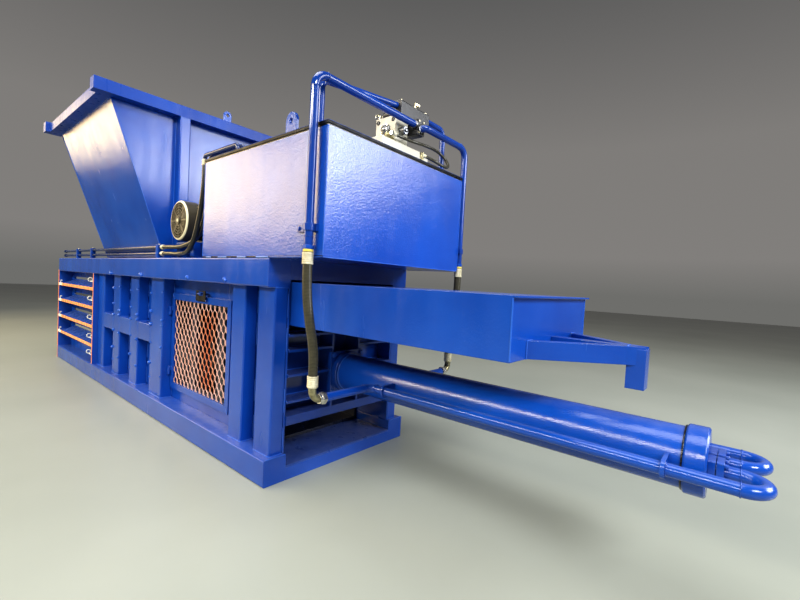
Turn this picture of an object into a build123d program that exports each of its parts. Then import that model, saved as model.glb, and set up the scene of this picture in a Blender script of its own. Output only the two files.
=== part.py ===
from build123d import *
import math
import os

# Horizontal hydraulic baling press with a feed hopper, an oil tank and a long main cylinder.
# Millimetres, +Z up, +X toward the main cylinder, -Y is the side with the service door.
# The origin is on the floor, below the middle of the base frame.

# Welded frame
FRAME_LENGTH = 4900.0
FRAME_WIDTH = 1208.0
BASE_RAIL_HEIGHT = 156.0
RAIL_WIDTH = 150.0
RAIL_WALL = 8.0
SECTION_CORNER = 10.0
END_CAP_THICKNESS = 8.0
FRAME_TOP = 1300.0
TOP_RAIL_HEIGHT = 166.0
TOP_RAIL_SETBACK = 26.0
CROSS_MEMBER_HEIGHT = 75.0
CROSS_MEMBER_WIDTH = 100.0
CROSS_MEMBER_WALL = 6.0
CROSS_MEMBER_COUNT = 7
FLOOR_PLATE_THICKNESS = 12.0
SIDE_WALL_THICKNESS = 12.0

# Side posts, the three pocket windows beside the chamber and the rails across them
POST_DEPTH = 88.0
POST_WALL = 8.0
CHAMBER_POST_WIDTHS = (210.0, 190.0, 190.0, 256.0)
POCKET_WIDTH = 300.0
MID_RAIL_BOTTOM = 580.0
MID_RAIL_HEIGHT = 155.0
END_POST_WIDTH = 174.0
INNER_POST_WIDTH = 160.0
END_POST_GAP = 145.0

# Bale outlet with its tying shelves
OUTLET_LENGTH = 1544.0
EDGE_PLATE_THICKNESS = 20.0
END_PLATE_RISE = 46.0
END_PLATE_CORNER = 40.0
SHELF_LIP_ROUND = 3.0
SHELF_COUNT = 4
FIRST_SHELF_TOP = 370.0
SHELF_PITCH = 204.0
SHELF_PLATE_THICKNESS = 10.0
SHELF_LIP_HEIGHT = 34.0
SHELF_EDGE_INSET = 2.0
TIE_SLOT_LIFT = 58.0
TIE_SLOT_HEIGHT = 30.0
TIE_SLOT_FRONT_MARGIN = 160.0
TIE_SLOT_REAR_MARGIN = 70.0
WIRE_PLATE_LIFT = 52.0
WIRE_PLATE_THICKNESS = 6.0
WIRE_PLATE_INSET = 12.0
GUIDE_RING_RADIUS = 20.0
GUIDE_RING_WIRE = 5.0
GUIDE_RING_HEIGHT = 83.0
GUIDE_RING_FIRST_HEIGHT = 121.0
GUIDE_RING_STANDOFF = 95.0
ROOF_THICKNESS = 12.0
ROOF_HEIGHT = 1180.0
ROOF_STIFFENER_WIDTH = 60.0
ROOF_STIFFENER_COUNT = 3
DECK_THICKNESS = 12.0

# Feed hopper
HOPPER_FAR_FACE = -795.0
HOPPER_LENGTH = 1500.0
HOPPER_THROAT_WIDTH = 1008.0
HOPPER_MOUTH_WIDTH = 1824.0
HOPPER_HEIGHT = 1182.0
HOPPER_WALL = 6.0
HOPPER_CUT_OVERRUN = 50.0
RIM_BAR_WIDTH = 91.0
RIM_BAR_HEIGHT = 90.0
RIM_END_BAR_LENGTH = 2080.0
RIM_SIDE_BAR_WIDTH = 100.0
RIM_SIDE_BAR_HEIGHT = 78.0
RIM_SIDE_BAR_OVERLAP = 8.0
HOPPER_RIB_SIZE = 85.0
HOPPER_RIB_SPACING = 802.0
HEADER_WIDTH = 91.0
KNIFE_THICKNESS = 20.0
KNIFE_CLEARANCE = 1.5

# Lifting lugs
HOPPER_LUG_WIDTH = 70.0
HOPPER_LUG_HEIGHT = 100.0
HOPPER_LUG_OFFSET = -25.0
TANK_LUG_WIDTH = 92.0
TANK_LUG_HEIGHT = 103.0
TANK_LUG_POSITION = 2577.0
LUG_THICKNESS = 16.0
LUG_HOLE_RADIUS = 15.0

# Oil tank
TANK_START = 1621.0
TANK_LENGTH = 1260.0
TANK_HEIGHT = 657.0
TANK_WALL = 6.0
TANK_LID_THICKNESS = 16.0
TANK_LID_OVERHANG = 5.0
TANK_GASKET_THICKNESS = 4.0
TANK_RIM_WIDTH = 40.0

# Motor and pump on their stand
MOTOR_AXIS_X = 1138.0
MOTOR_AXIS_HEIGHT = 1584.0
MOTOR_FACE_INSET = 30.0
COWL_RADIUS = 150.0
COWL_LENGTH = 112.0
COWL_SHEET = 3.0
COWL_CORNER = 14.0
COWL_GRILLE_RADII = ((44.0, 56.0), (64.0, 76.0), (84.0, 96.0), (104.0, 116.0), (122.0, 130.0))
COWL_SPOKE_WIDTH = 9.0
COWL_SPOKE_ANGLES = (0, 45, 90, 135)
COWL_HUB_RADIUS = 32.0
COWL_HUB_THICKNESS = 8.0
MOTOR_RADIUS = 122.0
MOTOR_LENGTH = 400.0
MOTOR_FIN_COUNT = 28
MOTOR_FIN_HEIGHT = 14.0
MOTOR_FIN_THICKNESS = 5.0
MOTOR_FIN_ROOT = 4.0
MOTOR_FLANGE_RADIUS = 150.0
MOTOR_FLANGE_THICKNESS = 18.0
MOTOR_SHAFT_RADIUS = 24.0
SHAFT_CLEARANCE = 0.05
MOTOR_FOOT_HEIGHT = 12.0
MOTOR_FOOT_LENGTH = 60.0
MOTOR_FOOT_HALF = 127.5
MOTOR_FOOT_NECK_HALF = 76.5
MOTOR_FOOT_NECK_DROP = 60.0
MOTOR_FRONT_FOOT_OFFSET = 60.0
MOTOR_REAR_FOOT_OFFSET = 120.0
MOTOR_FOOT_LIFT = 3.0
TERMINAL_BOX_OFFSET = 120.0
TERMINAL_BOX_LENGTH = 140.0
TERMINAL_BOX_REACH = 192.0
TERMINAL_BOX_ROOT = 61.0
TERMINAL_BOX_BOTTOM = -20.0
TERMINAL_BOX_TOP = 100.0
TERMINAL_BOX_CORNER = 8.0
STAND_PLATE_THICKNESS = 12.0
STAND_LENGTH = 300.0
STAND_LEG_SIZE = 60.0
STAND_LEG_INSET = 6.0
COUPLING_RADIUS = 62.0
COUPLING_HALF_LENGTH = 32.0
COUPLING_OFFSET = 24.0
COUPLING_SPIDER_RADIUS = 43.0
COUPLING_SPIDER_LENGTH = 10.0
FAN_GAP = 22.0
FAN_HUB_RADIUS = 40.0
FAN_HUB_LENGTH = 46.0
FAN_BLADE_COUNT = 8
FAN_BLADE_RADIUS = 120.0
FAN_BLADE_THICKNESS = 4.0
FAN_BLADE_LENGTH = 42.0
FAN_BLADE_INSET = 2.0
FAN_SHAFT_TIP = 6.0
BELLHOUSING_LENGTH = 140.0
BELLHOUSING_RADIUS = 117.0
BELLHOUSING_WALL = 14.0
BELLHOUSING_WINDOW_COUNT = 4
BELLHOUSING_WINDOW_SIZE = (60.0, 70.0, 60.0)
PUMP_RADIUS = 82.0
PUMP_LENGTH = 190.0
PUMP_CORNER = 12.0
PUMP_SPIGOT_RADIUS = 49.0
PUMP_SPIGOT_CLEARANCE = 0.3
PUMP_PORT_OFFSET = 70.0
PUMP_PORT_LENGTH = 70.0
PUMP_PORT_REACH = 108.0
PUMP_PORT_HALF = 36.0
PUMP_SHAFT_DEPTH = 20.0
PUMP_SHAFT_END_GAP = 0.3

# Valve stand on the tank lid
PEDESTAL_LENGTH = 220.0
PEDESTAL_WIDTH = 450.0
PEDESTAL_HEIGHT = 98.0
PEDESTAL_POSITION = (2560.0, -120.0)
VALVE_BLOCK_SIZE = (170.0, 120.0, 165.0)
VALVE_BLOCK_POSITION = (2590.0, 16.0)
PORT_BLOCK_SIZE = (137.0, 64.0, 95.0)
SPOOL_BODY_SIZE = (80.0, 284.0, 98.0)
SPOOL_BODY_POSITION = (2700.0, 36.0)
SOLENOID_RADIUS = 32.0
SOLENOID_LENGTH = 100.0
SOLENOID_SHARES = (0.22, 0.78)
SOLENOID_PIN_RADIUS = 13.0
SOLENOID_PIN_LENGTH = 14.0
SOLENOID_PLUG_START = 30.0
SOLENOID_PLUG_END = 80.0
SOLENOID_PLUG_HALF = 16.0
SOLENOID_PLUG_HEIGHT = 58.0
PEDESTAL_CHAMFER = 6.0
VALVE_BLOCK_CHAMFER = 5.0
SPOOL_BODY_CHAMFER = 10.0

# Steel pipes on the tank
PRESSURE_PIPE_RADIUS = 21.2
PRESSURE_PIPE_BEND = 70.0
PRESSURE_PIPE_OFFSET = 34.0
NEAR_RISER_X = 2812.0
CROSS_PIPE_HEIGHT = 2188.0
PORT_ELBOW_BEND = 30.0
PORT_ELBOW_STUB = 5.0
PORT_DROP_SHARE = 0.6
SPOOL_PIPE_SHARE = 0.7
TANK_PIPE_RADIUS = 19.0
TANK_PIPE_BEND = 55.0
TANK_PIPE_X = 2740.0
TANK_PIPE_INSET = 60.0
TANK_PIPE_ELBOW_HEIGHT = 2210.0
TANK_PIPE_COLLAR_RADIUS = 30.0
TANK_PIPE_COLLAR_HEIGHT = 12.0
RISER_CLAMP_HEIGHT = 35.0
RISER_CLAMP_LEVEL = 1443.0
RISER_CLAMP_REACH = 122.0
RISER_CLAMP_TAIL = 30.0
CLAMP_STRAP = 6.0

# Large hoses between the risers and the cylinder pipes
HOSE_RADIUS = 24.0
FERRULE_RADIUS = 28.5
FERRULE_LENGTH = 60.0
FERRULE_NUT_SIZE = 56.0
FERRULE_NUT_LENGTH = 35.0
HOSE_TOP = 1262.0
HOSE_BOTTOM = 715.0
FEED_PIPE_X = 2850.0
FEED_BEND = 52.0
FEED_ELBOW_RADIUS = 20.0
FEED_NUT_SIZE = 64.0
FEED_NUT_LENGTH = 32.0

# Main cylinder and its side pipes
CYLINDER_HEIGHT = 592.0
CYLINDER_RADIUS = 115.0
CYLINDER_BORE_RADIUS = 95.0
CYLINDER_TUBE_LENGTH = 1834.0
END_CAP_RADIUS = 128.0
END_CAP_LENGTH = 71.0
CAP_SPIGOT_LENGTH = 20.0
HEAD_FLANGE_RADIUS = 135.0
HEAD_FLANGE_THICKNESS = 40.0
GLAND_LENGTH = 80.0
ROD_RADIUS = 70.0
ROD_CLEARANCE = 0.05
PISTON_LENGTH = 90.0
PISTON_CUSHION_GAP = 4.0
PISTON_RING_WIDTH = 10.0
PISTON_RING_DEPTH = 6.0
PISTON_RING_SHARES = (0.3, 0.7)
SIDE_PIPE_RADIUS = 23.0
SIDE_PIPE_OFFSET = 190.0
PORT_OFFSET = 52.5
U_BEND_RADIUS = 68.0
U_BEND_REACH = 160.0
PORT_FLANGE_SIZE = 78.0
PORT_FLANGE_THICKNESS = 22.0
PORT_FLANGE_CORNER = 8.0
PORT_FLANGE_GAP = 3.0
PIPE_BRACKET_THICKNESS = 14.0
PIPE_BRACKET_MARGIN = 10.0
FRONT_BRACKET_OFFSET = 105.0
REAR_BRACKET_OFFSET = 54.0
PIPE_BRACKET_ROOT = 92.0
PIPE_BRACKET_ROUND = 29.0
HEAD_CHAMFER = 4.0
END_CAP_CHAMFER = 6.0

# Cylinder mount welded between the side walls
MOUNT_BOTTOM = 319.0
MOUNT_TOP = 860.0
MOUNT_BEAM_HEIGHT = 56.0
MOUNT_BACK_PLATE = 40.0
MOUNT_FRONT_PLATE = 30.0
MOUNT_DEPTH = 188.0
MOUNT_CHEEK_OFFSET = 108.0
MOUNT_CHEEK_THICKNESS = 15.0
MOUNT_RIB_THICKNESS = 15.0
MOUNT_RIB_HEIGHTS = (449.0, 605.0, 754.0)
MOUNT_FRONT_SIZE = 280.0
MOUNT_ROD_HOLE_CLEARANCE = 4.0

# Ram with its tail box
RAM_LENGTH = 1385.0
RAM_REAR_GAP = 162.0
RAM_SIDE_CLEARANCE = 2.0
RAM_FLOOR_CLEARANCE = 0.3
RAM_TOP = 1169.0
RAM_FACE_THICKNESS = 40.0
RAM_PLATE = 16.0
RAM_DECK = 20.0
RAM_REAR_PLATE = 40.0
RAM_REAR_BAND = (340.0, 850.0)
RAM_SIDE_WINDOW_COUNT = 3
RAM_SIDE_WINDOW_HEIGHT = 640.0
RAM_SIDE_WINDOW_MARGIN = 110.0
RAM_DIAPHRAGM_WIDTH = 90.0
RAM_KNIFE_LENGTH = 80.0
RAM_KNIFE_RISE = 1.0
WIRE_GROOVE_DEPTH = 22.0
ROD_FLANGE_RADIUS = 118.0
ROD_FLANGE_THICKNESS = 30.0
TAIL_END = 3799.0
TAIL_WIDTH = 894.0
TAIL_HEIGHT = 255.0
TAIL_PLATE = 8.0
TAIL_LIP = 22.0
TAIL_STIFFENER_COUNT = 3
TAIL_STIFFENER_HEIGHT = 90.0
ARM_SPREAD = 271.0
ARM_WIDTH = 50.0
ARM_HEIGHT = 75.0
ARM_TIP_INSET = 1.0
HANGER_X = 4109.0
HANGER_LENGTH = 68.0
HANGER_WIDTH = 74.0
HANGER_HEIGHT = 160.0
HANGER_RISE = 66.0

# Service door with its expanded metal panel
DOOR_GAP_TO_POST = 15.0
DOOR_WIDTH = 955.0
DOOR_BOTTOM = 240.0
DOOR_HEIGHT = 780.0
DOOR_BAR = 50.0
DOOR_THICKNESS = 20.0
DOOR_SEAT_GAP = 0.3
MESH_PITCH_WIDE = 66.0
MESH_PITCH_TALL = 91.0
MESH_STRAND = 12.0
MESH_THICKNESS = 8.0
HINGE_PIN_RADIUS = 6.0
HINGE_BARREL_RADIUS = 11.0
HINGE_BARREL_LENGTH = 34.0
HINGE_CLEARANCE = 0.05
HINGE_END_GAP = 0.3
HINGE_LEAF_LENGTH = 44.0
HINGE_INSET = 110.0
HINGE_STANDOFF = 1.0
HINGE_ARM_THICKNESS = 10.0
HINGE_LEAF_THICKNESS = 5.0
HASP_LENGTH = 150.0
HASP_HEIGHT = 70.0
HASP_SLOT_CLEARANCE = 10.0
HASP_SLOT_HALF = 40.0
HASP_THICKNESS = 5.0
HASP_PIVOT_RADIUS = 4.0
HASP_KNUCKLE_WALL = 4.0
HASP_EAR_LENGTH = 8.0
HASP_SHIFT = 55.0
STAPLE_RADIUS = 5.0
STAPLE_BEND = 12.0
STAPLE_HALF = 26.0
STAPLE_REACH = 14.0

# Two thin lines along the top rail
LINE_TUBE_RADIUS = 13.5
LINE_HOSE_RADIUS = 16.5
LINE_FERRULE_RADIUS = 19.0
LINE_FERRULE_LENGTH = 40.0
LINE_HOPPER_GAP = 12.46
LINE_TUBE_BEND = 24.3
LINE_TUBE_HEIGHTS = (1388.0, 1336.0)
LINE_TUBE_START = 820.0
LINE_TUBE_END = -2270.0
LINE_END_NUT_RADIUS = 19.0
LINE_END_NUT_LENGTH = 44.0
LINE_CLAMP_POSITIONS = (760.0, -1105.0, -1690.0)
LINE_CLAMP_SIZE = 40.0
LINE_CLAMP_CAP = 8.0
LINE_RISE_Y = (-560.0, -597.0)
LINE_BULKHEAD_X = 2030.0
LINE_LID_GAP = 19.5
LINE_DROP_X = 1592.0
LINE_HOSE_TOP = 1925.0

# Hose routes, chosen by hand between their ferrules
HOSE_STRAIGHT = 120.0
LINE_STRAIGHT = 135.0
VALVE_HOSE_STRAIGHT = 90.0
NEAR_HOSE_ROUTE = ((2836, -629, 978),)
FAR_HOSE_ROUTE = ((2865, 631, 978),)
VALVE_HOSE_ROUTE = ((2795, 172, 2090), (2801, 268, 2096), (2802, 360, 2099), (2798, 439, 2094),
                    (2818, 477, 2063), (2848, 477, 2017), (2868, 439, 1985), (2867, 378, 1984),
                    (2860, 318, 1994))
UPPER_LINE_ROUTE = ((1568, -562, 1640), (1512, -565, 1500), (1408, -562, 1428), (1262, -566, 1393),
                    (1126, -564, 1384))
LOWER_LINE_ROUTE = ((1556, -600, 1600), (1466, -600, 1408), (1338, -588, 1335), (1200, -568, 1331),
                    (1076, -564, 1332))
VALVE_HOSE_RADIUS = 9.5
VALVE_HOSE_START = (2790.0, -10.0, 2084.0)
VALVE_HOSE_END = (2856.0, 200.0, 2000.0)
VALVE_HOSE_TAIL = 58.0
VALVE_FERRULE_RADIUS = 12.5
VALVE_FERRULE_LENGTH = 34.0
VALVE_BANJO_HALF = 12.0
VALVE_BANJO_OFFSET = 22.0
VALVE_BANJO_LENGTH = 22.0
VALVE_BANJO_ROOT = 40.0
VALVE_STEM_RADIUS = 14.5
VALVE_STEM_CAP = 14.0

# How far a cutting tool runs past the face it opens
CUT_OVERRUN = 1.0

# Planes that the pieces share
half_width = FRAME_WIDTH / 2
frame_end = FRAME_LENGTH / 2
chamber_half = half_width - RAIL_WIDTH
wall_outer = chamber_half + SIDE_WALL_THICKNESS
post_outer = wall_outer + POST_DEPTH
top_rail_bottom = FRAME_TOP - TOP_RAIL_HEIGHT
top_rail_end = frame_end - TOP_RAIL_SETBACK
floor_level = CROSS_MEMBER_HEIGHT + FLOOR_PLATE_THICKNESS
roof_top = ROOF_HEIGHT + ROOF_THICKNESS
outlet_end = -frame_end + OUTLET_LENGTH
hopper_near_face = HOPPER_FAR_FACE + HOPPER_LENGTH
hopper_top = FRAME_TOP + HOPPER_HEIGHT
tank_end = TANK_START + TANK_LENGTH
lid_bottom = FRAME_TOP + TANK_HEIGHT - TANK_LID_THICKNESS
lid_top = FRAME_TOP + TANK_HEIGHT

post_ranges = []
post_start = outlet_end
for post_width in CHAMBER_POST_WIDTHS:
    post_ranges.append((post_start, post_start + post_width))
    post_start = post_start + post_width + POCKET_WIDTH
pocket_ranges = [(post_ranges[i][1], post_ranges[i + 1][0]) for i in range(len(post_ranges) - 1)]
end_post_start = top_rail_end - END_POST_WIDTH
inner_post_end = end_post_start - END_POST_GAP
post_ranges.append((inner_post_end - INNER_POST_WIDTH, inner_post_end))
post_ranges.append((end_post_start, top_rail_end))
door_post_face = post_ranges[3][1]


def box_between(x0, x1, y0, y1, z0, z1):
    """A box given by its six planes."""
    return Pos((x0 + x1) / 2, (y0 + y1) / 2, (z0 + z1) / 2) * Box(x1 - x0, y1 - y0, z1 - z0)


def bar_between(start, end, radius):
    """A round bar from one point to another."""
    direction = Vector(*end) - Vector(*start)
    seat = Plane(origin=start, z_dir=direction)
    return seat * Cylinder(radius, direction.length, align=(Align.CENTER, Align.CENTER, Align.MIN))


def hollow_bar_along_x(x0, x1, y0, y1, z0, z1, wall, corner):
    """A rectangular hollow section with rounded outer corners, open at both ends."""
    width = y1 - y0
    height = z1 - z0
    outline = RectangleRounded(width, height, corner) - Rectangle(width - 2 * wall, height - 2 * wall)
    return extrude(Plane.YZ.offset(x0) * Pos((y0 + y1) / 2, (z0 + z1) / 2) * outline, amount=x1 - x0)


def hollow_post(x0, x1, y0, y1, z0, z1, wall, corner):
    """An upright rectangular hollow section with rounded outer corners."""
    width = x1 - x0
    depth = y1 - y0
    outline = RectangleRounded(width, depth, corner) - Rectangle(width - 2 * wall, depth - 2 * wall)
    return extrude(Pos((x0 + x1) / 2, (y0 + y1) / 2, z0) * outline, amount=z1 - z0)


def bent_pipe(points, bends, radius):
    """A round pipe along straight runs joined by tangent arcs."""
    path = FilletPolyline(*points, radius=bends)
    section = Plane(origin=path @ 0, z_dir=path % 0) * Circle(radius)
    return sweep(section, path=path)


def hose_bends(points):
    """Arc radii as large as the two runs at each corner allow."""
    bends = []
    for i in range(1, len(points) - 1):
        before = Vector(*points[i]) - Vector(*points[i - 1])
        after = Vector(*points[i + 1]) - Vector(*points[i])
        turn = math.radians(before.get_angle(after))
        bends.append(0.45 * min(before.length, after.length) / math.tan(turn / 2))
    return bends


def hose(label, points, radius):
    """A hose tube; prints its arc radii and compares its volume with section times length."""
    bends = hose_bends(points)
    path = FilletPolyline(*points, radius=bends)
    tube = bent_pipe(points, bends, radius)
    share = tube.volume / (math.pi * radius ** 2 * path.length)
    print(label, "length", round(path.length), "radii", [round(b) for b in bends], "volume", round(share, 4))
    return tube


def lug(width, height, thickness, hole_radius):
    """A lifting eye standing on its base, with a round head, lying in the XZ plane."""
    head = width / 2
    outline = Pos(0, (height - head) / 2) * Rectangle(width, height - head)
    outline += Pos(0, height - head) * Circle(head)
    outline -= Pos(0, height - head) * Circle(hole_radius)
    return extrude(Plane.XZ * outline, amount=thickness / 2, both=True)


def mirrored(shape):
    """The same piece on the other side of the machine."""
    return mirror(shape, about=Plane.XZ)


def write(name, *pieces):
    """Writes one node; identical pieces may share it."""
    solids = []
    for piece in pieces:
        solids.extend(piece.solids())
    shape = solids[0] if len(solids) == 1 else Compound(solids)
    export_step(shape, f"parts/{name}.step")


os.makedirs("parts", exist_ok=True)

# Base and top rails with welded end caps, cross members between them and the chamber floor
rail_y = -(half_width + chamber_half) / 2
base_rail = hollow_bar_along_x(-frame_end, frame_end, -half_width, -chamber_half,
                               0, BASE_RAIL_HEIGHT, RAIL_WALL, SECTION_CORNER)
base_rail += extrude(Plane.YZ.offset(frame_end - END_CAP_THICKNESS) * Pos(rail_y, BASE_RAIL_HEIGHT / 2)
                     * RectangleRounded(RAIL_WIDTH, BASE_RAIL_HEIGHT, SECTION_CORNER),
                     amount=END_CAP_THICKNESS)
write("base_rails", base_rail, mirrored(base_rail))
top_rail = hollow_bar_along_x(-frame_end, top_rail_end, -half_width, -chamber_half,
                              top_rail_bottom, FRAME_TOP, RAIL_WALL, SECTION_CORNER)
top_rail += extrude(Plane.YZ.offset(top_rail_end - END_CAP_THICKNESS)
                    * Pos(rail_y, (top_rail_bottom + FRAME_TOP) / 2)
                    * RectangleRounded(RAIL_WIDTH, TOP_RAIL_HEIGHT, SECTION_CORNER),
                    amount=END_CAP_THICKNESS)
write("top_rails", top_rail, mirrored(top_rail))

member_span = FRAME_LENGTH - CROSS_MEMBER_WIDTH
member_profile = (Rectangle(CROSS_MEMBER_WIDTH, CROSS_MEMBER_HEIGHT)
                  - Rectangle(CROSS_MEMBER_WIDTH - 2 * CROSS_MEMBER_WALL,
                              CROSS_MEMBER_HEIGHT - 2 * CROSS_MEMBER_WALL))
cross_members = []
for i in range(CROSS_MEMBER_COUNT):
    member_x = -member_span / 2 + i * member_span / (CROSS_MEMBER_COUNT - 1)
    seat = Plane.XZ * Pos(member_x, CROSS_MEMBER_HEIGHT / 2)
    cross_members.append(extrude(seat * member_profile, amount=chamber_half, both=True))
write("base_cross_members", *cross_members)
write("floor_plate", box_between(-frame_end, frame_end, -chamber_half, chamber_half,
                                 CROSS_MEMBER_HEIGHT, floor_level))

# Side posts and the rails across the pocket windows
posts = []
for x0, x1 in post_ranges:
    posts.append(hollow_post(x0, x1, -post_outer, -wall_outer, BASE_RAIL_HEIGHT, top_rail_bottom,
                             POST_WALL, SECTION_CORNER))
for x0, x1 in pocket_ranges:
    posts.append(hollow_bar_along_x(x0, x1, -post_outer, -wall_outer, MID_RAIL_BOTTOM,
                                    MID_RAIL_BOTTOM + MID_RAIL_HEIGHT, POST_WALL, SECTION_CORNER))
write("side_posts", *posts, *[mirrored(post) for post in posts])

# Chamber walls, slotted above every shelf for the tying wires; the near one has the service opening
shelf_tops = [FIRST_SHELF_TOP + i * SHELF_PITCH for i in range(SHELF_COUNT)]
wall_height = top_rail_bottom - BASE_RAIL_HEIGHT
wall_length = frame_end + top_rail_end
wall_sheet = (Pos(-frame_end + wall_length / 2, BASE_RAIL_HEIGHT + wall_height / 2)
              * Rectangle(wall_length, wall_height))
slot_start = -frame_end + TIE_SLOT_FRONT_MARGIN
slot_end = outlet_end - EDGE_PLATE_THICKNESS - TIE_SLOT_REAR_MARGIN
slot_bottoms = [shelf_top + TIE_SLOT_LIFT for shelf_top in shelf_tops]
for slot_bottom in slot_bottoms:
    wall_sheet -= (Pos((slot_start + slot_end) / 2, slot_bottom + TIE_SLOT_HEIGHT / 2)
                   * SlotOverall(slot_end - slot_start, TIE_SLOT_HEIGHT))
door_start = door_post_face + DOOR_GAP_TO_POST
door_end = door_start + DOOR_WIDTH
door_top = DOOR_BOTTOM + DOOR_HEIGHT
door_centre = Pos((door_start + door_end) / 2, (DOOR_BOTTOM + door_top) / 2)
door_window = Rectangle(DOOR_WIDTH - 2 * DOOR_BAR, DOOR_HEIGHT - 2 * DOOR_BAR)
near_wall = extrude(Plane.XZ.offset(chamber_half) * (wall_sheet - door_centre * door_window),
                    amount=SIDE_WALL_THICKNESS)
far_wall = mirrored(extrude(Plane.XZ.offset(chamber_half) * wall_sheet, amount=SIDE_WALL_THICKNESS))
write("chamber_wall_near", near_wall)
write("chamber_wall_far", far_wall)

# Outlet shelves: plates with a turned-down lip and a sloping plate up to the slot for the wire,
# closed by edge plates at both ends
shelf_outer = half_width - SHELF_EDGE_INSET
shelf_depth = shelf_outer - wall_outer
shelf_end = outlet_end - EDGE_PLATE_THICKNESS
shelf_length = shelf_end + frame_end
shelves = []
for shelf_top in shelf_tops:
    plate = box_between(-frame_end, shelf_end, -shelf_outer, -wall_outer,
                        shelf_top - SHELF_PLATE_THICKNESS, shelf_top)
    lip = box_between(-frame_end, shelf_end, -shelf_outer, -shelf_outer + SHELF_PLATE_THICKNESS,
                      shelf_top - SHELF_LIP_HEIGHT, shelf_top)
    lip_edges = (plate + lip).edges().filter_by(Axis.X).group_by(Axis.Y)[0]
    shelf = fillet(lip_edges, SHELF_LIP_ROUND)
    wire_plate_foot = -shelf_outer + WIRE_PLATE_INSET
    shelf += extrude(Plane.YZ.offset(slot_start) * make_face(Polyline(
        (wire_plate_foot, shelf_top), (-wall_outer, shelf_top + WIRE_PLATE_LIFT),
        (-wall_outer, shelf_top + WIRE_PLATE_LIFT - WIRE_PLATE_THICKNESS),
        (wire_plate_foot + WIRE_PLATE_THICKNESS, shelf_top - WIRE_PLATE_THICKNESS / 2), close=True)),
        amount=shelf_end - slot_start)
    shelves.append(shelf)
write("outlet_shelves", *shelves, *[mirrored(shelf) for shelf in shelves])
edge_plate = box_between(shelf_end, outlet_end, -shelf_outer, -wall_outer,
                         BASE_RAIL_HEIGHT, top_rail_bottom)
end_plate = box_between(-frame_end - EDGE_PLATE_THICKNESS, -frame_end, -half_width, -chamber_half,
                        0, top_rail_bottom + END_PLATE_RISE)
end_plate = fillet(end_plate.edges().filter_by(Axis.X).group_by(Axis.Z)[-1].sort_by(Axis.Y)[0],
                   END_PLATE_CORNER)
write("outlet_edge_plates", edge_plate, mirrored(edge_plate), end_plate, mirrored(end_plate))
rings = []
ring_levels = [BASE_RAIL_HEIGHT + GUIDE_RING_FIRST_HEIGHT]
ring_levels.extend(shelf_top + GUIDE_RING_HEIGHT for shelf_top in shelf_tops)
for ring_z in ring_levels:
    ring_x = shelf_end - GUIDE_RING_STANDOFF
    ring_y = -shelf_outer
    ring = Pos(ring_x, ring_y, ring_z) * Rot(0, 90, 0) * Torus(GUIDE_RING_RADIUS, GUIDE_RING_WIRE)
    stem = bar_between((ring_x, ring_y, ring_z - GUIDE_RING_RADIUS),
                       (shelf_end, ring_y, ring_z - GUIDE_RING_RADIUS), GUIDE_RING_WIRE)
    rings.append(ring + stem)
write("wire_guide_rings", *rings, *[mirrored(ring) for ring in rings])

# Chamber roof, headers between the top rails, the deck under the motor and the fixed knife
roof_end = HOPPER_FAR_FACE + HOPPER_WALL - HEADER_WIDTH
roof = box_between(-frame_end, roof_end, -chamber_half, chamber_half, ROOF_HEIGHT, roof_top)
for i in range(ROOF_STIFFENER_COUNT):
    stiffener_x = -frame_end + (i + 0.5) * (roof_end + frame_end) / ROOF_STIFFENER_COUNT
    roof += box_between(stiffener_x - ROOF_STIFFENER_WIDTH / 2, stiffener_x + ROOF_STIFFENER_WIDTH / 2,
                        -chamber_half, chamber_half, roof_top, FRAME_TOP)
knife_edge_x = roof_end + HEADER_WIDTH
near_header_x = hopper_near_face - HOPPER_WALL
header_starts = (roof_end, near_header_x, inner_post_end - HEADER_WIDTH, top_rail_end - HEADER_WIDTH)
header_bottoms = (roof_top, ROOF_HEIGHT, ROOF_HEIGHT, ROOF_HEIGHT)
headers = []
for header_x, header_bottom in zip(header_starts, header_bottoms):
    headers.append(box_between(header_x, header_x + HEADER_WIDTH, -chamber_half, chamber_half,
                               header_bottom, FRAME_TOP))
write("top_headers", *headers)
deck = box_between(near_header_x + HEADER_WIDTH, TANK_START, -chamber_half, chamber_half,
                   FRAME_TOP - DECK_THICKNESS, FRAME_TOP)
write("chamber_roof", roof, deck)
knife_bottom = RAM_TOP + RAM_KNIFE_RISE + KNIFE_CLEARANCE
fixed_knife = box_between(roof_end, knife_edge_x, -chamber_half, chamber_half, knife_bottom, roof_top)
write("fixed_knife", fixed_knife)

# Hopper: straight end walls, flared side walls, a heavy rim and upright ribs
throat_half = HOPPER_THROAT_WIDTH / 2
mouth_half = HOPPER_MOUTH_WIDTH / 2
flare = (mouth_half - throat_half) / HOPPER_HEIGHT
side_sheet = HOPPER_WALL * math.sqrt(1 + flare ** 2)
outer_flare = Plane.YZ.offset(HOPPER_FAR_FACE) * make_face(Polyline(
    (-throat_half, FRAME_TOP), (throat_half, FRAME_TOP), (mouth_half, hopper_top),
    (-mouth_half, hopper_top), close=True))
inner_low = throat_half - side_sheet - HOPPER_CUT_OVERRUN * flare
inner_high = mouth_half - side_sheet + HOPPER_CUT_OVERRUN * flare
inner_flare = Plane.YZ.offset(HOPPER_FAR_FACE + HOPPER_WALL) * make_face(Polyline(
    (-inner_low, FRAME_TOP - HOPPER_CUT_OVERRUN), (inner_low, FRAME_TOP - HOPPER_CUT_OVERRUN),
    (inner_high, hopper_top + HOPPER_CUT_OVERRUN), (-inner_high, hopper_top + HOPPER_CUT_OVERRUN),
    close=True))
hopper = extrude(outer_flare, amount=HOPPER_LENGTH)
hopper -= extrude(inner_flare, amount=HOPPER_LENGTH - 2 * HOPPER_WALL)
write("hopper_shell", hopper)

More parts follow.
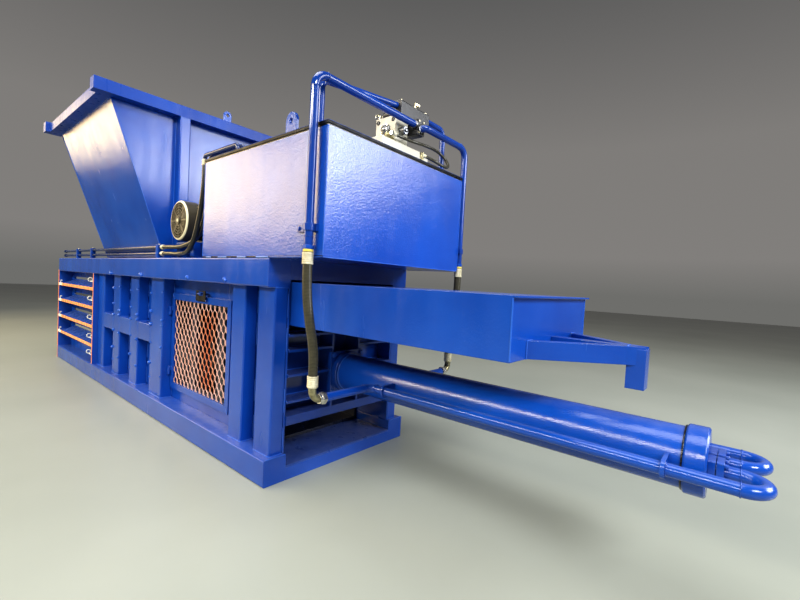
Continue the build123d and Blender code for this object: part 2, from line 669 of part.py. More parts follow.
rim_far = HOPPER_FAR_FACE + HOPPER_WALL
rim_near = hopper_near_face - HOPPER_WALL
rim_top = hopper_top + RIM_BAR_HEIGHT
rim_inner = mouth_half - RIM_SIDE_BAR_OVERLAP
rim = box_between(rim_near, rim_near + RIM_BAR_WIDTH, -RIM_END_BAR_LENGTH / 2, RIM_END_BAR_LENGTH / 2,
                  hopper_top, rim_top)
rim += box_between(rim_far - RIM_BAR_WIDTH, rim_far, -RIM_END_BAR_LENGTH / 2, RIM_END_BAR_LENGTH / 2,
                   hopper_top, rim_top)
for side in (-1, 1):
    bar_y = sorted((side * rim_inner, side * (rim_inner + RIM_SIDE_BAR_WIDTH)))
    rim += box_between(rim_far, rim_near, bar_y[0], bar_y[1], hopper_top,
                       hopper_top + RIM_SIDE_BAR_HEIGHT)
write("hopper_rim", rim)
rib_outline = RectangleRounded(HOPPER_RIB_SIZE, HOPPER_RIB_SIZE, SECTION_CORNER)
ribs = []
for rib_x in (HOPPER_FAR_FACE - HOPPER_RIB_SIZE / 2, hopper_near_face + HOPPER_RIB_SIZE / 2):
    for rib_y in (-HOPPER_RIB_SPACING / 2, HOPPER_RIB_SPACING / 2):
        ribs.append(extrude(Pos(rib_x, rib_y, FRAME_TOP) * rib_outline, amount=HOPPER_HEIGHT))
write("hopper_ribs", *ribs)

# Lifting eyes on the hopper rim and along both edges of the tank lid
lugs = []
for lug_x in (rim_near + RIM_BAR_WIDTH / 2, rim_far - RIM_BAR_WIDTH / 2):
    lugs.append(Pos(lug_x, HOPPER_LUG_OFFSET, rim_top) * Rot(0, 0, 90)
                * lug(HOPPER_LUG_WIDTH, HOPPER_LUG_HEIGHT, LUG_THICKNESS, LUG_HOLE_RADIUS))
for side in (-1, 1):
    lugs.append(Pos(TANK_LUG_POSITION, side * (half_width - LUG_THICKNESS / 2), lid_top)
                * lug(TANK_LUG_WIDTH, TANK_LUG_HEIGHT, LUG_THICKNESS, LUG_HOLE_RADIUS))
write("lifting_eyes", *lugs)

# Oil tank: welded box with a bolting rim, a gasket and a flat lid
tank_top = lid_bottom - TANK_GASKET_THICKNESS
tank = box_between(TANK_START, tank_end, -half_width, half_width, FRAME_TOP, tank_top)
tank -= box_between(TANK_START + TANK_WALL, tank_end - TANK_WALL, -half_width + TANK_WALL,
                    half_width - TANK_WALL, FRAME_TOP + TANK_WALL, tank_top - TANK_WALL)
tank -= box_between(TANK_START + TANK_RIM_WIDTH, tank_end - TANK_RIM_WIDTH,
                    -half_width + TANK_RIM_WIDTH, half_width - TANK_RIM_WIDTH,
                    tank_top - 2 * TANK_WALL, tank_top)
write("tank_body", tank)
gasket = box_between(TANK_START, tank_end, -half_width, half_width, tank_top, lid_bottom)
gasket -= box_between(TANK_START + TANK_RIM_WIDTH, tank_end - TANK_RIM_WIDTH,
                      -half_width + TANK_RIM_WIDTH, half_width - TANK_RIM_WIDTH, tank_top, lid_bottom)
write("tank_gasket", gasket)
lid = box_between(TANK_START - TANK_LID_OVERHANG, tank_end + TANK_LID_OVERHANG,
                  -half_width - TANK_LID_OVERHANG, half_width + TANK_LID_OVERHANG, lid_bottom, lid_top)
write("tank_lid", lid)

# Motor stand, motor, pump and the rotor that runs through them; all lie along Y
cowl_face_y = -half_width + MOTOR_FACE_INSET
motor_start_y = cowl_face_y + COWL_LENGTH
motor_end_y = motor_start_y + MOTOR_LENGTH
bell_end_y = motor_end_y + BELLHOUSING_LENGTH
pump_end_y = bell_end_y + PUMP_LENGTH
stand_top = MOTOR_AXIS_HEIGHT - COWL_RADIUS - MOTOR_FOOT_HEIGHT + MOTOR_FOOT_LIFT
motor_seat = Plane(origin=(MOTOR_AXIS_X, 0, MOTOR_AXIS_HEIGHT), x_dir=(1, 0, 0), z_dir=(0, 1, 0))


def along_motor(radius, y0, y1):
    """A round length on the motor axis."""
    length = Cylinder(radius, y1 - y0, align=(Align.CENTER, Align.CENTER, Align.MIN))
    return motor_seat * Pos(0, 0, y0) * length


stand_half = chamber_half + STAND_LEG_INSET + STAND_LEG_SIZE
stand = box_between(MOTOR_AXIS_X - STAND_LENGTH / 2, MOTOR_AXIS_X + STAND_LENGTH / 2,
                    -stand_half, stand_half, stand_top - STAND_PLATE_THICKNESS, stand_top)
leg_outline = RectangleRounded(STAND_LEG_SIZE, STAND_LEG_SIZE, SECTION_CORNER)
for leg_x in (MOTOR_AXIS_X - (STAND_LENGTH - STAND_LEG_SIZE) / 2,
              MOTOR_AXIS_X + (STAND_LENGTH - STAND_LEG_SIZE) / 2):
    for side in (-1, 1):
        leg_y = side * (stand_half - STAND_LEG_SIZE / 2)
        stand += extrude(Pos(leg_x, leg_y, FRAME_TOP) * leg_outline,
                         amount=stand_top - STAND_PLATE_THICKNESS - FRAME_TOP)
write("motor_stand", stand)

fin_outline = Circle(MOTOR_RADIUS)
for i in range(MOTOR_FIN_COUNT):
    fin_outline += (Rot(0, 0, i * 360 / MOTOR_FIN_COUNT)
                    * Pos(MOTOR_RADIUS + (MOTOR_FIN_HEIGHT - MOTOR_FIN_ROOT) / 2, 0)
                    * Rectangle(MOTOR_FIN_HEIGHT + MOTOR_FIN_ROOT, MOTOR_FIN_THICKNESS))
motor = extrude(motor_seat * Pos(0, 0, motor_start_y) * fin_outline,
                amount=MOTOR_LENGTH - MOTOR_FLANGE_THICKNESS)
motor += along_motor(MOTOR_FLANGE_RADIUS, motor_end_y - MOTOR_FLANGE_THICKNESS, motor_end_y)
for foot_y in (motor_start_y + MOTOR_FRONT_FOOT_OFFSET, motor_end_y - MOTOR_REAR_FOOT_OFFSET):
    foot_end_y = foot_y + MOTOR_FOOT_LENGTH
    motor += box_between(MOTOR_AXIS_X - MOTOR_FOOT_HALF, MOTOR_AXIS_X + MOTOR_FOOT_HALF, foot_y, foot_end_y,
                         stand_top, stand_top + MOTOR_FOOT_HEIGHT)
    motor += box_between(MOTOR_AXIS_X - MOTOR_FOOT_NECK_HALF, MOTOR_AXIS_X + MOTOR_FOOT_NECK_HALF, foot_y,
                         foot_end_y, stand_top + MOTOR_FOOT_HEIGHT, MOTOR_AXIS_HEIGHT - MOTOR_FOOT_NECK_DROP)
terminal_start_y = motor_start_y + TERMINAL_BOX_OFFSET
terminal_box = box_between(MOTOR_AXIS_X - TERMINAL_BOX_REACH, MOTOR_AXIS_X - TERMINAL_BOX_ROOT,
                           terminal_start_y, terminal_start_y + TERMINAL_BOX_LENGTH,
                           MOTOR_AXIS_HEIGHT + TERMINAL_BOX_BOTTOM, MOTOR_AXIS_HEIGHT + TERMINAL_BOX_TOP)
motor += fillet(terminal_box.edges().filter_by(Axis.Y), TERMINAL_BOX_CORNER)
motor -= along_motor(MOTOR_SHAFT_RADIUS + SHAFT_CLEARANCE, motor_start_y, motor_end_y)
write("motor_body", motor)

cowl = along_motor(COWL_RADIUS, cowl_face_y, motor_start_y)
cowl = fillet(cowl.edges().sort_by(Axis.Y)[0], COWL_CORNER)
cowl_inside = along_motor(COWL_RADIUS - COWL_SHEET, cowl_face_y + COWL_SHEET, motor_start_y - COWL_SHEET)
cowl -= fillet(cowl_inside.edges().sort_by(Axis.Y)[0], COWL_CORNER - COWL_SHEET)
cowl -= along_motor(MOTOR_RADIUS, motor_start_y - COWL_SHEET, motor_start_y)
grille_cuts = Sketch()
for ring_inner, ring_outer in COWL_GRILLE_RADII:
    grille_cuts += Circle(ring_outer) - Circle(ring_inner)
for spoke_angle in COWL_SPOKE_ANGLES:
    grille_cuts -= Rot(0, 0, spoke_angle) * Rectangle(2 * COWL_RADIUS, COWL_SPOKE_WIDTH)
cowl -= extrude(motor_seat * Pos(0, 0, cowl_face_y) * grille_cuts, amount=COWL_SHEET)
cowl += along_motor(COWL_HUB_RADIUS, cowl_face_y - COWL_HUB_THICKNESS, cowl_face_y)
write("motor_fan_cowl", cowl)

bell = along_motor(MOTOR_FLANGE_RADIUS, motor_end_y, motor_end_y + MOTOR_FLANGE_THICKNESS)
bell += along_motor(BELLHOUSING_RADIUS, motor_end_y, bell_end_y)
bell -= along_motor(BELLHOUSING_RADIUS - BELLHOUSING_WALL, motor_end_y, bell_end_y - BELLHOUSING_WALL)
bell -= along_motor(PUMP_SPIGOT_RADIUS + PUMP_SPIGOT_CLEARANCE, motor_end_y, bell_end_y)
for i in range(BELLHOUSING_WINDOW_COUNT):
    window_turn = Rot(0, 0, (i + 0.5) * 360 / BELLHOUSING_WINDOW_COUNT)
    bell -= (motor_seat * Pos(0, 0, (motor_end_y + bell_end_y) / 2) * window_turn
             * Pos(BELLHOUSING_RADIUS, 0, 0) * Box(*BELLHOUSING_WINDOW_SIZE))
write("pump_bellhousing", bell)
pump = along_motor(PUMP_SPIGOT_RADIUS, bell_end_y - BELLHOUSING_WALL, bell_end_y)
pump += along_motor(PUMP_RADIUS, bell_end_y, pump_end_y)
pump = fillet(pump.edges().sort_by(Axis.Y)[-1], PUMP_CORNER)
pump_port_y = bell_end_y + PUMP_PORT_OFFSET
pump += box_between(MOTOR_AXIS_X - PUMP_PORT_REACH, MOTOR_AXIS_X + PUMP_PORT_REACH, pump_port_y,
                    pump_port_y + PUMP_PORT_LENGTH, MOTOR_AXIS_HEIGHT - PUMP_PORT_HALF,
                    MOTOR_AXIS_HEIGHT + PUMP_PORT_HALF)
pump_shaft_end = bell_end_y + PUMP_SHAFT_DEPTH
pump -= along_motor(MOTOR_SHAFT_RADIUS + SHAFT_CLEARANCE, bell_end_y - BELLHOUSING_WALL,
                    pump_shaft_end + PUMP_SHAFT_END_GAP)
write("hydraulic_pump", pump)

fan_start_y = cowl_face_y + COWL_SHEET + FAN_GAP
rotor = along_motor(MOTOR_SHAFT_RADIUS, fan_start_y - FAN_SHAFT_TIP, pump_shaft_end)
coupling_y = motor_end_y + COUPLING_OFFSET
spider_y = coupling_y + COUPLING_HALF_LENGTH
rotor += along_motor(COUPLING_RADIUS, coupling_y, spider_y)
rotor += along_motor(COUPLING_SPIDER_RADIUS, spider_y, spider_y + COUPLING_SPIDER_LENGTH)
rotor += along_motor(COUPLING_RADIUS, spider_y + COUPLING_SPIDER_LENGTH,
                     spider_y + COUPLING_SPIDER_LENGTH + COUPLING_HALF_LENGTH)
rotor += along_motor(FAN_HUB_RADIUS, fan_start_y, fan_start_y + FAN_HUB_LENGTH)
blade = box_between(COWL_HUB_RADIUS, FAN_BLADE_RADIUS, -FAN_BLADE_THICKNESS / 2, FAN_BLADE_THICKNESS / 2,
                    0, FAN_BLADE_LENGTH)
for i in range(FAN_BLADE_COUNT):
    rotor += (motor_seat * Pos(0, 0, fan_start_y + FAN_BLADE_INSET)
              * Rot(0, 0, i * 360 / FAN_BLADE_COUNT) * blade)
write("motor_rotor", rotor)

# Valve stand: cream pedestal, ported block, a spool valve with two coils and a port block
pedestal_x, pedestal_y = PEDESTAL_POSITION
pedestal_top = lid_top + PEDESTAL_HEIGHT
pedestal = box_between(pedestal_x, pedestal_x + PEDESTAL_LENGTH, pedestal_y, pedestal_y + PEDESTAL_WIDTH,
                       lid_top, pedestal_top)
write("valve_pedestal", chamfer(pedestal.edges().group_by(Axis.Z)[-1], PEDESTAL_CHAMFER))
block_x, block_y = VALVE_BLOCK_POSITION
block_end_x = block_x + VALVE_BLOCK_SIZE[0]
block_end_y = block_y + VALVE_BLOCK_SIZE[1]
block_top = pedestal_top + VALVE_BLOCK_SIZE[2]
valve_block = box_between(block_x, block_end_x, block_y, block_end_y, pedestal_top, block_top)
write("valve_block", chamfer(valve_block.edges().filter_by(Axis.Z), VALVE_BLOCK_CHAMFER))
spool_x, spool_y = SPOOL_BODY_POSITION
spool_end_x = spool_x + SPOOL_BODY_SIZE[0]
spool_end_y = spool_y + SPOOL_BODY_SIZE[1]
spool_top = block_top + SPOOL_BODY_SIZE[2]
spool = box_between(spool_x, spool_end_x, spool_y, spool_end_y, block_top, spool_top)
write("spool_valve_body", chamfer(spool.edges().filter_by(Axis.Y), SPOOL_BODY_CHAMFER))
coils = []
coil_z = block_top + SPOOL_BODY_SIZE[2] / 2
for coil_share in SOLENOID_SHARES:
    coil_y = spool_y + SPOOL_BODY_SIZE[1] * coil_share
    coil_end_x = spool_x - SOLENOID_LENGTH
    coil = bar_between((spool_x, coil_y, coil_z), (coil_end_x, coil_y, coil_z), SOLENOID_RADIUS)
    coil += bar_between((coil_end_x, coil_y, coil_z), (coil_end_x - SOLENOID_PIN_LENGTH, coil_y, coil_z),
                        SOLENOID_PIN_RADIUS)
    coil += box_between(spool_x - SOLENOID_PLUG_END, spool_x - SOLENOID_PLUG_START,
                        coil_y - SOLENOID_PLUG_HALF, coil_y + SOLENOID_PLUG_HALF,
                        coil_z, coil_z + SOLENOID_PLUG_HEIGHT)
    coils.append(coil)
write("valve_solenoids", *coils)
port_end_x = spool_x + PORT_BLOCK_SIZE[0]
port_end_y = block_end_y + PORT_BLOCK_SIZE[1]
port_block = box_between(spool_x, port_end_x, block_end_y, port_end_y,
                         block_top - PORT_BLOCK_SIZE[2], block_top)
write("port_block", port_block)

# Pressure pipes: up the tank side, across the lid and into the port block
riser_y = half_width + PRESSURE_PIPE_OFFSET
riser_bottom = HOSE_TOP + FERRULE_LENGTH + FERRULE_NUT_LENGTH
near_pressure_pipe = bent_pipe(
    ((NEAR_RISER_X, -riser_y, riser_bottom), (NEAR_RISER_X, -riser_y, CROSS_PIPE_HEIGHT),
     (NEAR_RISER_X, block_end_y, CROSS_PIPE_HEIGHT)), [PRESSURE_PIPE_BEND], PRESSURE_PIPE_RADIUS)
write("pressure_pipe_near", near_pressure_pipe)
far_riser_x = port_end_x + PORT_ELBOW_BEND + PORT_ELBOW_STUB
far_port_y = (block_end_y + port_end_y) / 2
far_port_height = block_top - PORT_BLOCK_SIZE[2] * PORT_DROP_SHARE
far_pressure_pipe = bent_pipe(
    ((port_end_x, far_port_y, far_port_height), (far_riser_x, far_port_y, far_port_height),
     (far_riser_x, riser_y, far_port_height), (far_riser_x, riser_y, riser_bottom)),
    [PORT_ELBOW_BEND, PRESSURE_PIPE_BEND], PRESSURE_PIPE_RADIUS)
write("pressure_pipe_far", far_pressure_pipe)

# Tank pipes: out of the lid on both sides and into the ends of the spool valve
tank_pipe_y = half_width - TANK_PIPE_INSET
spool_pipe_height = block_top + SPOOL_BODY_SIZE[2] * SPOOL_PIPE_SHARE
near_tank_pipe = bent_pipe(
    ((TANK_PIPE_X, -tank_pipe_y, lid_top), (TANK_PIPE_X, -tank_pipe_y, TANK_PIPE_ELBOW_HEIGHT),
     (TANK_PIPE_X, spool_y + TANK_PIPE_RADIUS, spool_pipe_height)), [TANK_PIPE_BEND], TANK_PIPE_RADIUS)
near_tank_pipe -= box_between(spool_x, spool_end_x, spool_y, spool_end_y, block_top, spool_top)
far_tank_pipe = bent_pipe(
    ((TANK_PIPE_X, tank_pipe_y, lid_top), (TANK_PIPE_X, tank_pipe_y, spool_pipe_height),
     (TANK_PIPE_X, spool_end_y, spool_pipe_height)), [TANK_PIPE_BEND], TANK_PIPE_RADIUS)
tank_pipes = []
for pipe, pipe_y in ((near_tank_pipe, -tank_pipe_y), (far_tank_pipe, tank_pipe_y)):
    tank_pipes.append(pipe + bar_between((TANK_PIPE_X, pipe_y, lid_top),
                                         (TANK_PIPE_X, pipe_y, lid_top + TANK_PIPE_COLLAR_HEIGHT),
                                         TANK_PIPE_COLLAR_RADIUS))
write("tank_pipes", *tank_pipes)

# Clamps that hold the risers to the tank sides
riser_clamps = []
for riser_x, side in ((NEAR_RISER_X, -1), (far_riser_x, 1)):
    plate_y = sorted((side * half_width, side * (riser_y - PRESSURE_PIPE_RADIUS)))
    clamp_low = RISER_CLAMP_LEVEL - RISER_CLAMP_HEIGHT / 2
    clamp_high = RISER_CLAMP_LEVEL + RISER_CLAMP_HEIGHT / 2
    clamp = box_between(riser_x - RISER_CLAMP_REACH, riser_x + RISER_CLAMP_TAIL, plate_y[0], plate_y[1],
                        clamp_low, clamp_high)
    clamp += bar_between((riser_x, side * riser_y, clamp_low), (riser_x, side * riser_y, clamp_high),
                         PRESSURE_PIPE_RADIUS + CLAMP_STRAP)
    clamp -= bar_between((riser_x, side * riser_y, clamp_low - CUT_OVERRUN),
                         (riser_x, side * riser_y, clamp_high + CUT_OVERRUN), PRESSURE_PIPE_RADIUS)
    riser_clamps.append(clamp)
write("riser_clamps", *riser_clamps)

# Large hoses with crimped ferrules; the top ones carry the union nut of the riser
near_hose_points = ((NEAR_RISER_X, -riser_y, HOSE_TOP), (NEAR_RISER_X, -riser_y, HOSE_TOP - HOSE_STRAIGHT),
                    *NEAR_HOSE_ROUTE, (FEED_PIPE_X, -half_width, HOSE_BOTTOM + HOSE_STRAIGHT),
                    (FEED_PIPE_X, -half_width, HOSE_BOTTOM))
far_hose_points = ((far_riser_x, riser_y, HOSE_TOP), (far_riser_x, riser_y, HOSE_TOP - HOSE_STRAIGHT),
                   *FAR_HOSE_ROUTE, (FEED_PIPE_X, half_width, HOSE_BOTTOM + HOSE_STRAIGHT),
                   (FEED_PIPE_X, half_width, HOSE_BOTTOM))
write("hose_near", hose("hose_near", near_hose_points, HOSE_RADIUS))
write("hose_far", hose("hose_far", far_hose_points, HOSE_RADIUS))
ferrules = []
nut_outline = RegularPolygon(FERRULE_NUT_SIZE / 2, 6)
feed_nut_outline = RegularPolygon(FEED_NUT_SIZE / 2, 6)
feed_nut_y = half_width - FEED_BEND
feed_nut_end = feed_nut_y - FEED_NUT_LENGTH
for riser_x, side in ((NEAR_RISER_X, -1), (far_riser_x, 1)):
    upper = bar_between((riser_x, side * riser_y, HOSE_TOP),
                        (riser_x, side * riser_y, HOSE_TOP + FERRULE_LENGTH), FERRULE_RADIUS)
    upper += extrude(Pos(riser_x, side * riser_y, HOSE_TOP + FERRULE_LENGTH) * nut_outline,
                     amount=FERRULE_NUT_LENGTH)
    elbow_top = HOSE_BOTTOM - FERRULE_LENGTH
    lower = bar_between((FEED_PIPE_X, side * half_width, elbow_top),
                        (FEED_PIPE_X, side * half_width, HOSE_BOTTOM), FERRULE_RADIUS)
    lower += bent_pipe(((FEED_PIPE_X, side * half_width, elbow_top),
                        (FEED_PIPE_X, side * half_width, CYLINDER_HEIGHT),
                        (FEED_PIPE_X, side * feed_nut_end, CYLINDER_HEIGHT)), [FEED_BEND], FEED_ELBOW_RADIUS)
    lower += extrude(Plane(origin=(FEED_PIPE_X, side * feed_nut_y, CYLINDER_HEIGHT), x_dir=(1, 0, 0),
                           z_dir=(0, -side, 0)) * feed_nut_outline, amount=FEED_NUT_LENGTH)
    ferrules.extend((upper, lower))

# Small looped hose beside the valve stand, with its two fittings
start_x, start_y, start_z = VALVE_HOSE_START
end_x, end_y, end_z = VALVE_HOSE_END
valve_hose_points = (VALVE_HOSE_START, (start_x, start_y + VALVE_HOSE_STRAIGHT, start_z), *VALVE_HOSE_ROUTE,
                     (end_x, end_y + VALVE_HOSE_TAIL, end_z), VALVE_HOSE_END)
write("valve_hose", hose("valve_hose", valve_hose_points, VALVE_HOSE_RADIUS))
start_fitting = bar_between((start_x, start_y - VALVE_FERRULE_LENGTH, start_z), VALVE_HOSE_START,
                            VALVE_FERRULE_RADIUS)
banjo_end_y = start_y - VALVE_BANJO_OFFSET
banjo_start_y = banjo_end_y - VALVE_BANJO_LENGTH
start_fitting += box_between(block_end_x, start_x + VALVE_BANJO_HALF, banjo_start_y, banjo_end_y,
                             start_z - VALVE_BANJO_HALF, start_z + VALVE_BANJO_HALF)
start_fitting += box_between(block_end_x - VALVE_BANJO_ROOT, block_end_x, banjo_start_y, block_y,
                             start_z - VALVE_BANJO_HALF, start_z + VALVE_BANJO_HALF)
stem_y = end_y - VALVE_FERRULE_LENGTH
end_fitting = bar_between((end_x, stem_y, end_z), VALVE_HOSE_END, VALVE_FERRULE_RADIUS)
end_fitting += bar_between((end_x, stem_y, lid_top), (end_x, stem_y, end_z + VALVE_STEM_CAP),
                           VALVE_STEM_RADIUS)

# Two thin lines: rigid tubes on the lid, hoses down the tank end, tubes along the top rail
lid_line_height = lid_top + LINE_TUBE_RADIUS + LINE_LID_GAP
hopper_side_at_line = throat_half + flare * (max(LINE_TUBE_HEIGHTS) + LINE_TUBE_RADIUS - FRAME_TOP)
line_tube_y = -(hopper_side_at_line + LINE_HOPPER_GAP + LINE_TUBE_RADIUS)
line_ferrules = []
line_tubes = []
for rise_y, tube_height in zip(LINE_RISE_Y, LINE_TUBE_HEIGHTS):
    drop_top = LINE_HOSE_TOP + LINE_FERRULE_LENGTH
    line_tubes.append(bent_pipe(
        ((LINE_BULKHEAD_X, rise_y, lid_top), (LINE_BULKHEAD_X, rise_y, lid_line_height),
         (LINE_DROP_X, rise_y, lid_line_height), (LINE_DROP_X, rise_y, drop_top)),
        [LINE_TUBE_BEND, LINE_TUBE_BEND], LINE_TUBE_RADIUS))
    line_ferrules.append(bar_between((LINE_DROP_X, rise_y, LINE_HOSE_TOP),
                                     (LINE_DROP_X, rise_y, drop_top), LINE_FERRULE_RADIUS))
    line_ferrules.append(bar_between((LINE_TUBE_START, line_tube_y, tube_height),
                                     (LINE_TUBE_START + LINE_FERRULE_LENGTH, line_tube_y, tube_height),
                                     LINE_FERRULE_RADIUS))
    tube = bar_between((LINE_TUBE_END, line_tube_y, tube_height),
                       (LINE_TUBE_START, line_tube_y, tube_height), LINE_TUBE_RADIUS)
    tube += bar_between((LINE_TUBE_END - LINE_END_NUT_LENGTH, line_tube_y, tube_height),
                        (LINE_TUBE_END, line_tube_y, tube_height), LINE_END_NUT_RADIUS)
    line_tubes.append(tube)
write("line_tubes", *line_tubes)
write("hose_fittings", *ferrules, start_fitting, end_fitting, *line_ferrules)
line_hose_end = LINE_TUBE_START + LINE_FERRULE_LENGTH
line_routes = (("line_hose_upper", UPPER_LINE_ROUTE), ("line_hose_lower", LOWER_LINE_ROUTE))
for (name, route), rise_y, tube_height in zip(line_routes, LINE_RISE_Y, LINE_TUBE_HEIGHTS):
    line_points = ((LINE_DROP_X, rise_y, LINE_HOSE_TOP),
                   (LINE_DROP_X, rise_y, LINE_HOSE_TOP - LINE_STRAIGHT), *route,
                   (line_hose_end + LINE_STRAIGHT, line_tube_y, tube_height),
                   (line_hose_end, line_tube_y, tube_height))
    write(name, hose(name, line_points, LINE_HOSE_RADIUS))
line_clamps = []
for clamp_x in LINE_CLAMP_POSITIONS:
    clamp = box_between(clamp_x - LINE_CLAMP_SIZE / 2, clamp_x + LINE_CLAMP_SIZE / 2,
                        line_tube_y - LINE_CLAMP_SIZE / 2, line_tube_y + LINE_CLAMP_SIZE / 2,
                        FRAME_TOP, max(LINE_TUBE_HEIGHTS) + LINE_TUBE_RADIUS + LINE_CLAMP_CAP)
    for tube_height in LINE_TUBE_HEIGHTS:
        clamp -= bar_between((clamp_x - LINE_CLAMP_SIZE, line_tube_y, tube_height),
                             (clamp_x + LINE_CLAMP_SIZE, line_tube_y, tube_height), LINE_TUBE_RADIUS)
    line_clamps.append(clamp)
write("line_clamps", *line_clamps)

# Cylinder mount: ribbed crosshead between the walls with a front plate for the cylinder flange
mount_front = frame_end
mount_back = mount_front - MOUNT_DEPTH
back_plate_end = mount_back + MOUNT_BACK_PLATE
front_plate_start = mount_front - MOUNT_FRONT_PLATE
cheek_outer = MOUNT_CHEEK_OFFSET + MOUNT_CHEEK_THICKNESS
rib_front = front_plate_start + MOUNT_FRONT_PLATE / 2
mount = box_between(mount_back, back_plate_end, -chamber_half, chamber_half, MOUNT_BOTTOM, MOUNT_TOP)
mount += box_between(mount_back, rib_front, -chamber_half, chamber_half, MOUNT_BOTTOM,
                     MOUNT_BOTTOM + MOUNT_BEAM_HEIGHT)
for side in (-1, 1):
    cheek_y = sorted((side * MOUNT_CHEEK_OFFSET, side * cheek_outer))
    rib_y = sorted((side * cheek_outer, side * chamber_half))
    mount += box_between(back_plate_end, rib_front, cheek_y[0], cheek_y[1], MOUNT_BOTTOM, MOUNT_TOP)
    for rib_height in (*MOUNT_RIB_HEIGHTS, MOUNT_TOP - MOUNT_RIB_THICKNESS):
        mount += box_between(back_plate_end, rib_front, rib_y[0], rib_y[1], rib_height,
                             rib_height + MOUNT_RIB_THICKNESS)
mount += box_between(front_plate_start, mount_front, -MOUNT_FRONT_SIZE / 2, MOUNT_FRONT_SIZE / 2,
                     CYLINDER_HEIGHT - MOUNT_FRONT_SIZE / 2, CYLINDER_HEIGHT + MOUNT_FRONT_SIZE / 2)
mount -= bar_between((mount_back - CUT_OVERRUN, 0, CYLINDER_HEIGHT),
                     (mount_front + CUT_OVERRUN, 0, CYLINDER_HEIGHT), ROD_RADIUS + MOUNT_ROD_HOLE_CLEARANCE)
write("cylinder_mount", mount)

# Main cylinder: flanged head with its gland, honed tube and end cap
head_end = mount_front + HEAD_FLANGE_THICKNESS
tube_end = head_end + CYLINDER_TUBE_LENGTH
gland_end = head_end + GLAND_LENGTH


def along_cylinder(radius, x0, x1):
    """A round length on the cylinder axis."""
    return bar_between((x0, 0, CYLINDER_HEIGHT), (x1, 0, CYLINDER_HEIGHT), radius)


head = chamfer(along_cylinder(HEAD_FLANGE_RADIUS, mount_front, head_end).edges().sort_by(Axis.X)[-1],
               HEAD_CHAMFER)
head += along_cylinder(CYLINDER_BORE_RADIUS, head_end, gland_end)
head -= along_cylinder(ROD_RADIUS + ROD_CLEARANCE, mount_front - CUT_OVERRUN, gland_end + CUT_OVERRUN)
write("cylinder_head", head)
cylinder_tube = along_cylinder(CYLINDER_RADIUS, head_end, tube_end)
cylinder_tube -= along_cylinder(CYLINDER_BORE_RADIUS, head_end - CUT_OVERRUN, tube_end + CUT_OVERRUN)
write("cylinder_tube", cylinder_tube)
cap_end = tube_end + END_CAP_LENGTH
end_cap = along_cylinder(END_CAP_RADIUS, tube_end, cap_end)
end_cap = chamfer(end_cap.edges().filter_by(GeomType.CIRCLE), END_CAP_CHAMFER)
end_cap += along_cylinder(CYLINDER_BORE_RADIUS, tube_end - CAP_SPIGOT_LENGTH, tube_end)
write("cylinder_end_cap", end_cap)

# Side pipes: from the elbow nut to the cylinder side, along it, round the U-bend and into the cap
bend_x = cap_end + U_BEND_REACH
side_pipe = bent_pipe(
    ((FEED_PIPE_X, -feed_nut_end, CYLINDER_HEIGHT), (FEED_PIPE_X, -SIDE_PIPE_OFFSET, CYLINDER_HEIGHT),
     (bend_x, -SIDE_PIPE_OFFSET, CYLINDER_HEIGHT), (bend_x, -PORT_OFFSET, CYLINDER_HEIGHT),
     (cap_end, -PORT_OFFSET, CYLINDER_HEIGHT)),
    [FEED_BEND, U_BEND_RADIUS, U_BEND_RADIUS], SIDE_PIPE_RADIUS)
write("side_pipes", side_pipe, mirrored(side_pipe))
port_flanges = []
flange_outline = RectangleRounded(PORT_FLANGE_SIZE, PORT_FLANGE_SIZE, PORT_FLANGE_CORNER)
flange_outline -= Circle(SIDE_PIPE_RADIUS)
for port_y in (-PORT_OFFSET, PORT_OFFSET):
    for flange_x in (cap_end, cap_end + PORT_FLANGE_THICKNESS + PORT_FLANGE_GAP):
        port_flanges.append(extrude(Plane.YZ.offset(flange_x) * Pos(port_y, CYLINDER_HEIGHT) * flange_outline,
                                    amount=PORT_FLANGE_THICKNESS))
write("port_flanges", *port_flanges)
pipe_brackets = []
bracket_half = SIDE_PIPE_RADIUS + PIPE_BRACKET_MARGIN
for bracket_x in (FEED_PIPE_X + FRONT_BRACKET_OFFSET, tube_end - REAR_BRACKET_OFFSET):
    bracket = box_between(bracket_x, bracket_x + PIPE_BRACKET_THICKNESS, -SIDE_PIPE_OFFSET - bracket_half,
                          -PIPE_BRACKET_ROOT, CYLINDER_HEIGHT - bracket_half, CYLINDER_HEIGHT + bracket_half)
    bracket = fillet(bracket.edges().filter_by(Axis.X).group_by(Axis.Y)[0], PIPE_BRACKET_ROUND)
    cut_start = bracket_x - CUT_OVERRUN
    cut_end = bracket_x + PIPE_BRACKET_THICKNESS + CUT_OVERRUN
    bracket -= along_cylinder(CYLINDER_RADIUS, cut_start, cut_end)
    bracket -= bar_between((cut_start, -SIDE_PIPE_OFFSET, CYLINDER_HEIGHT),
                           (cut_end, -SIDE_PIPE_OFFSET, CYLINDER_HEIGHT), SIDE_PIPE_RADIUS)
    pipe_brackets.extend((bracket, mirrored(bracket)))
write("pipe_brackets", *pipe_brackets)

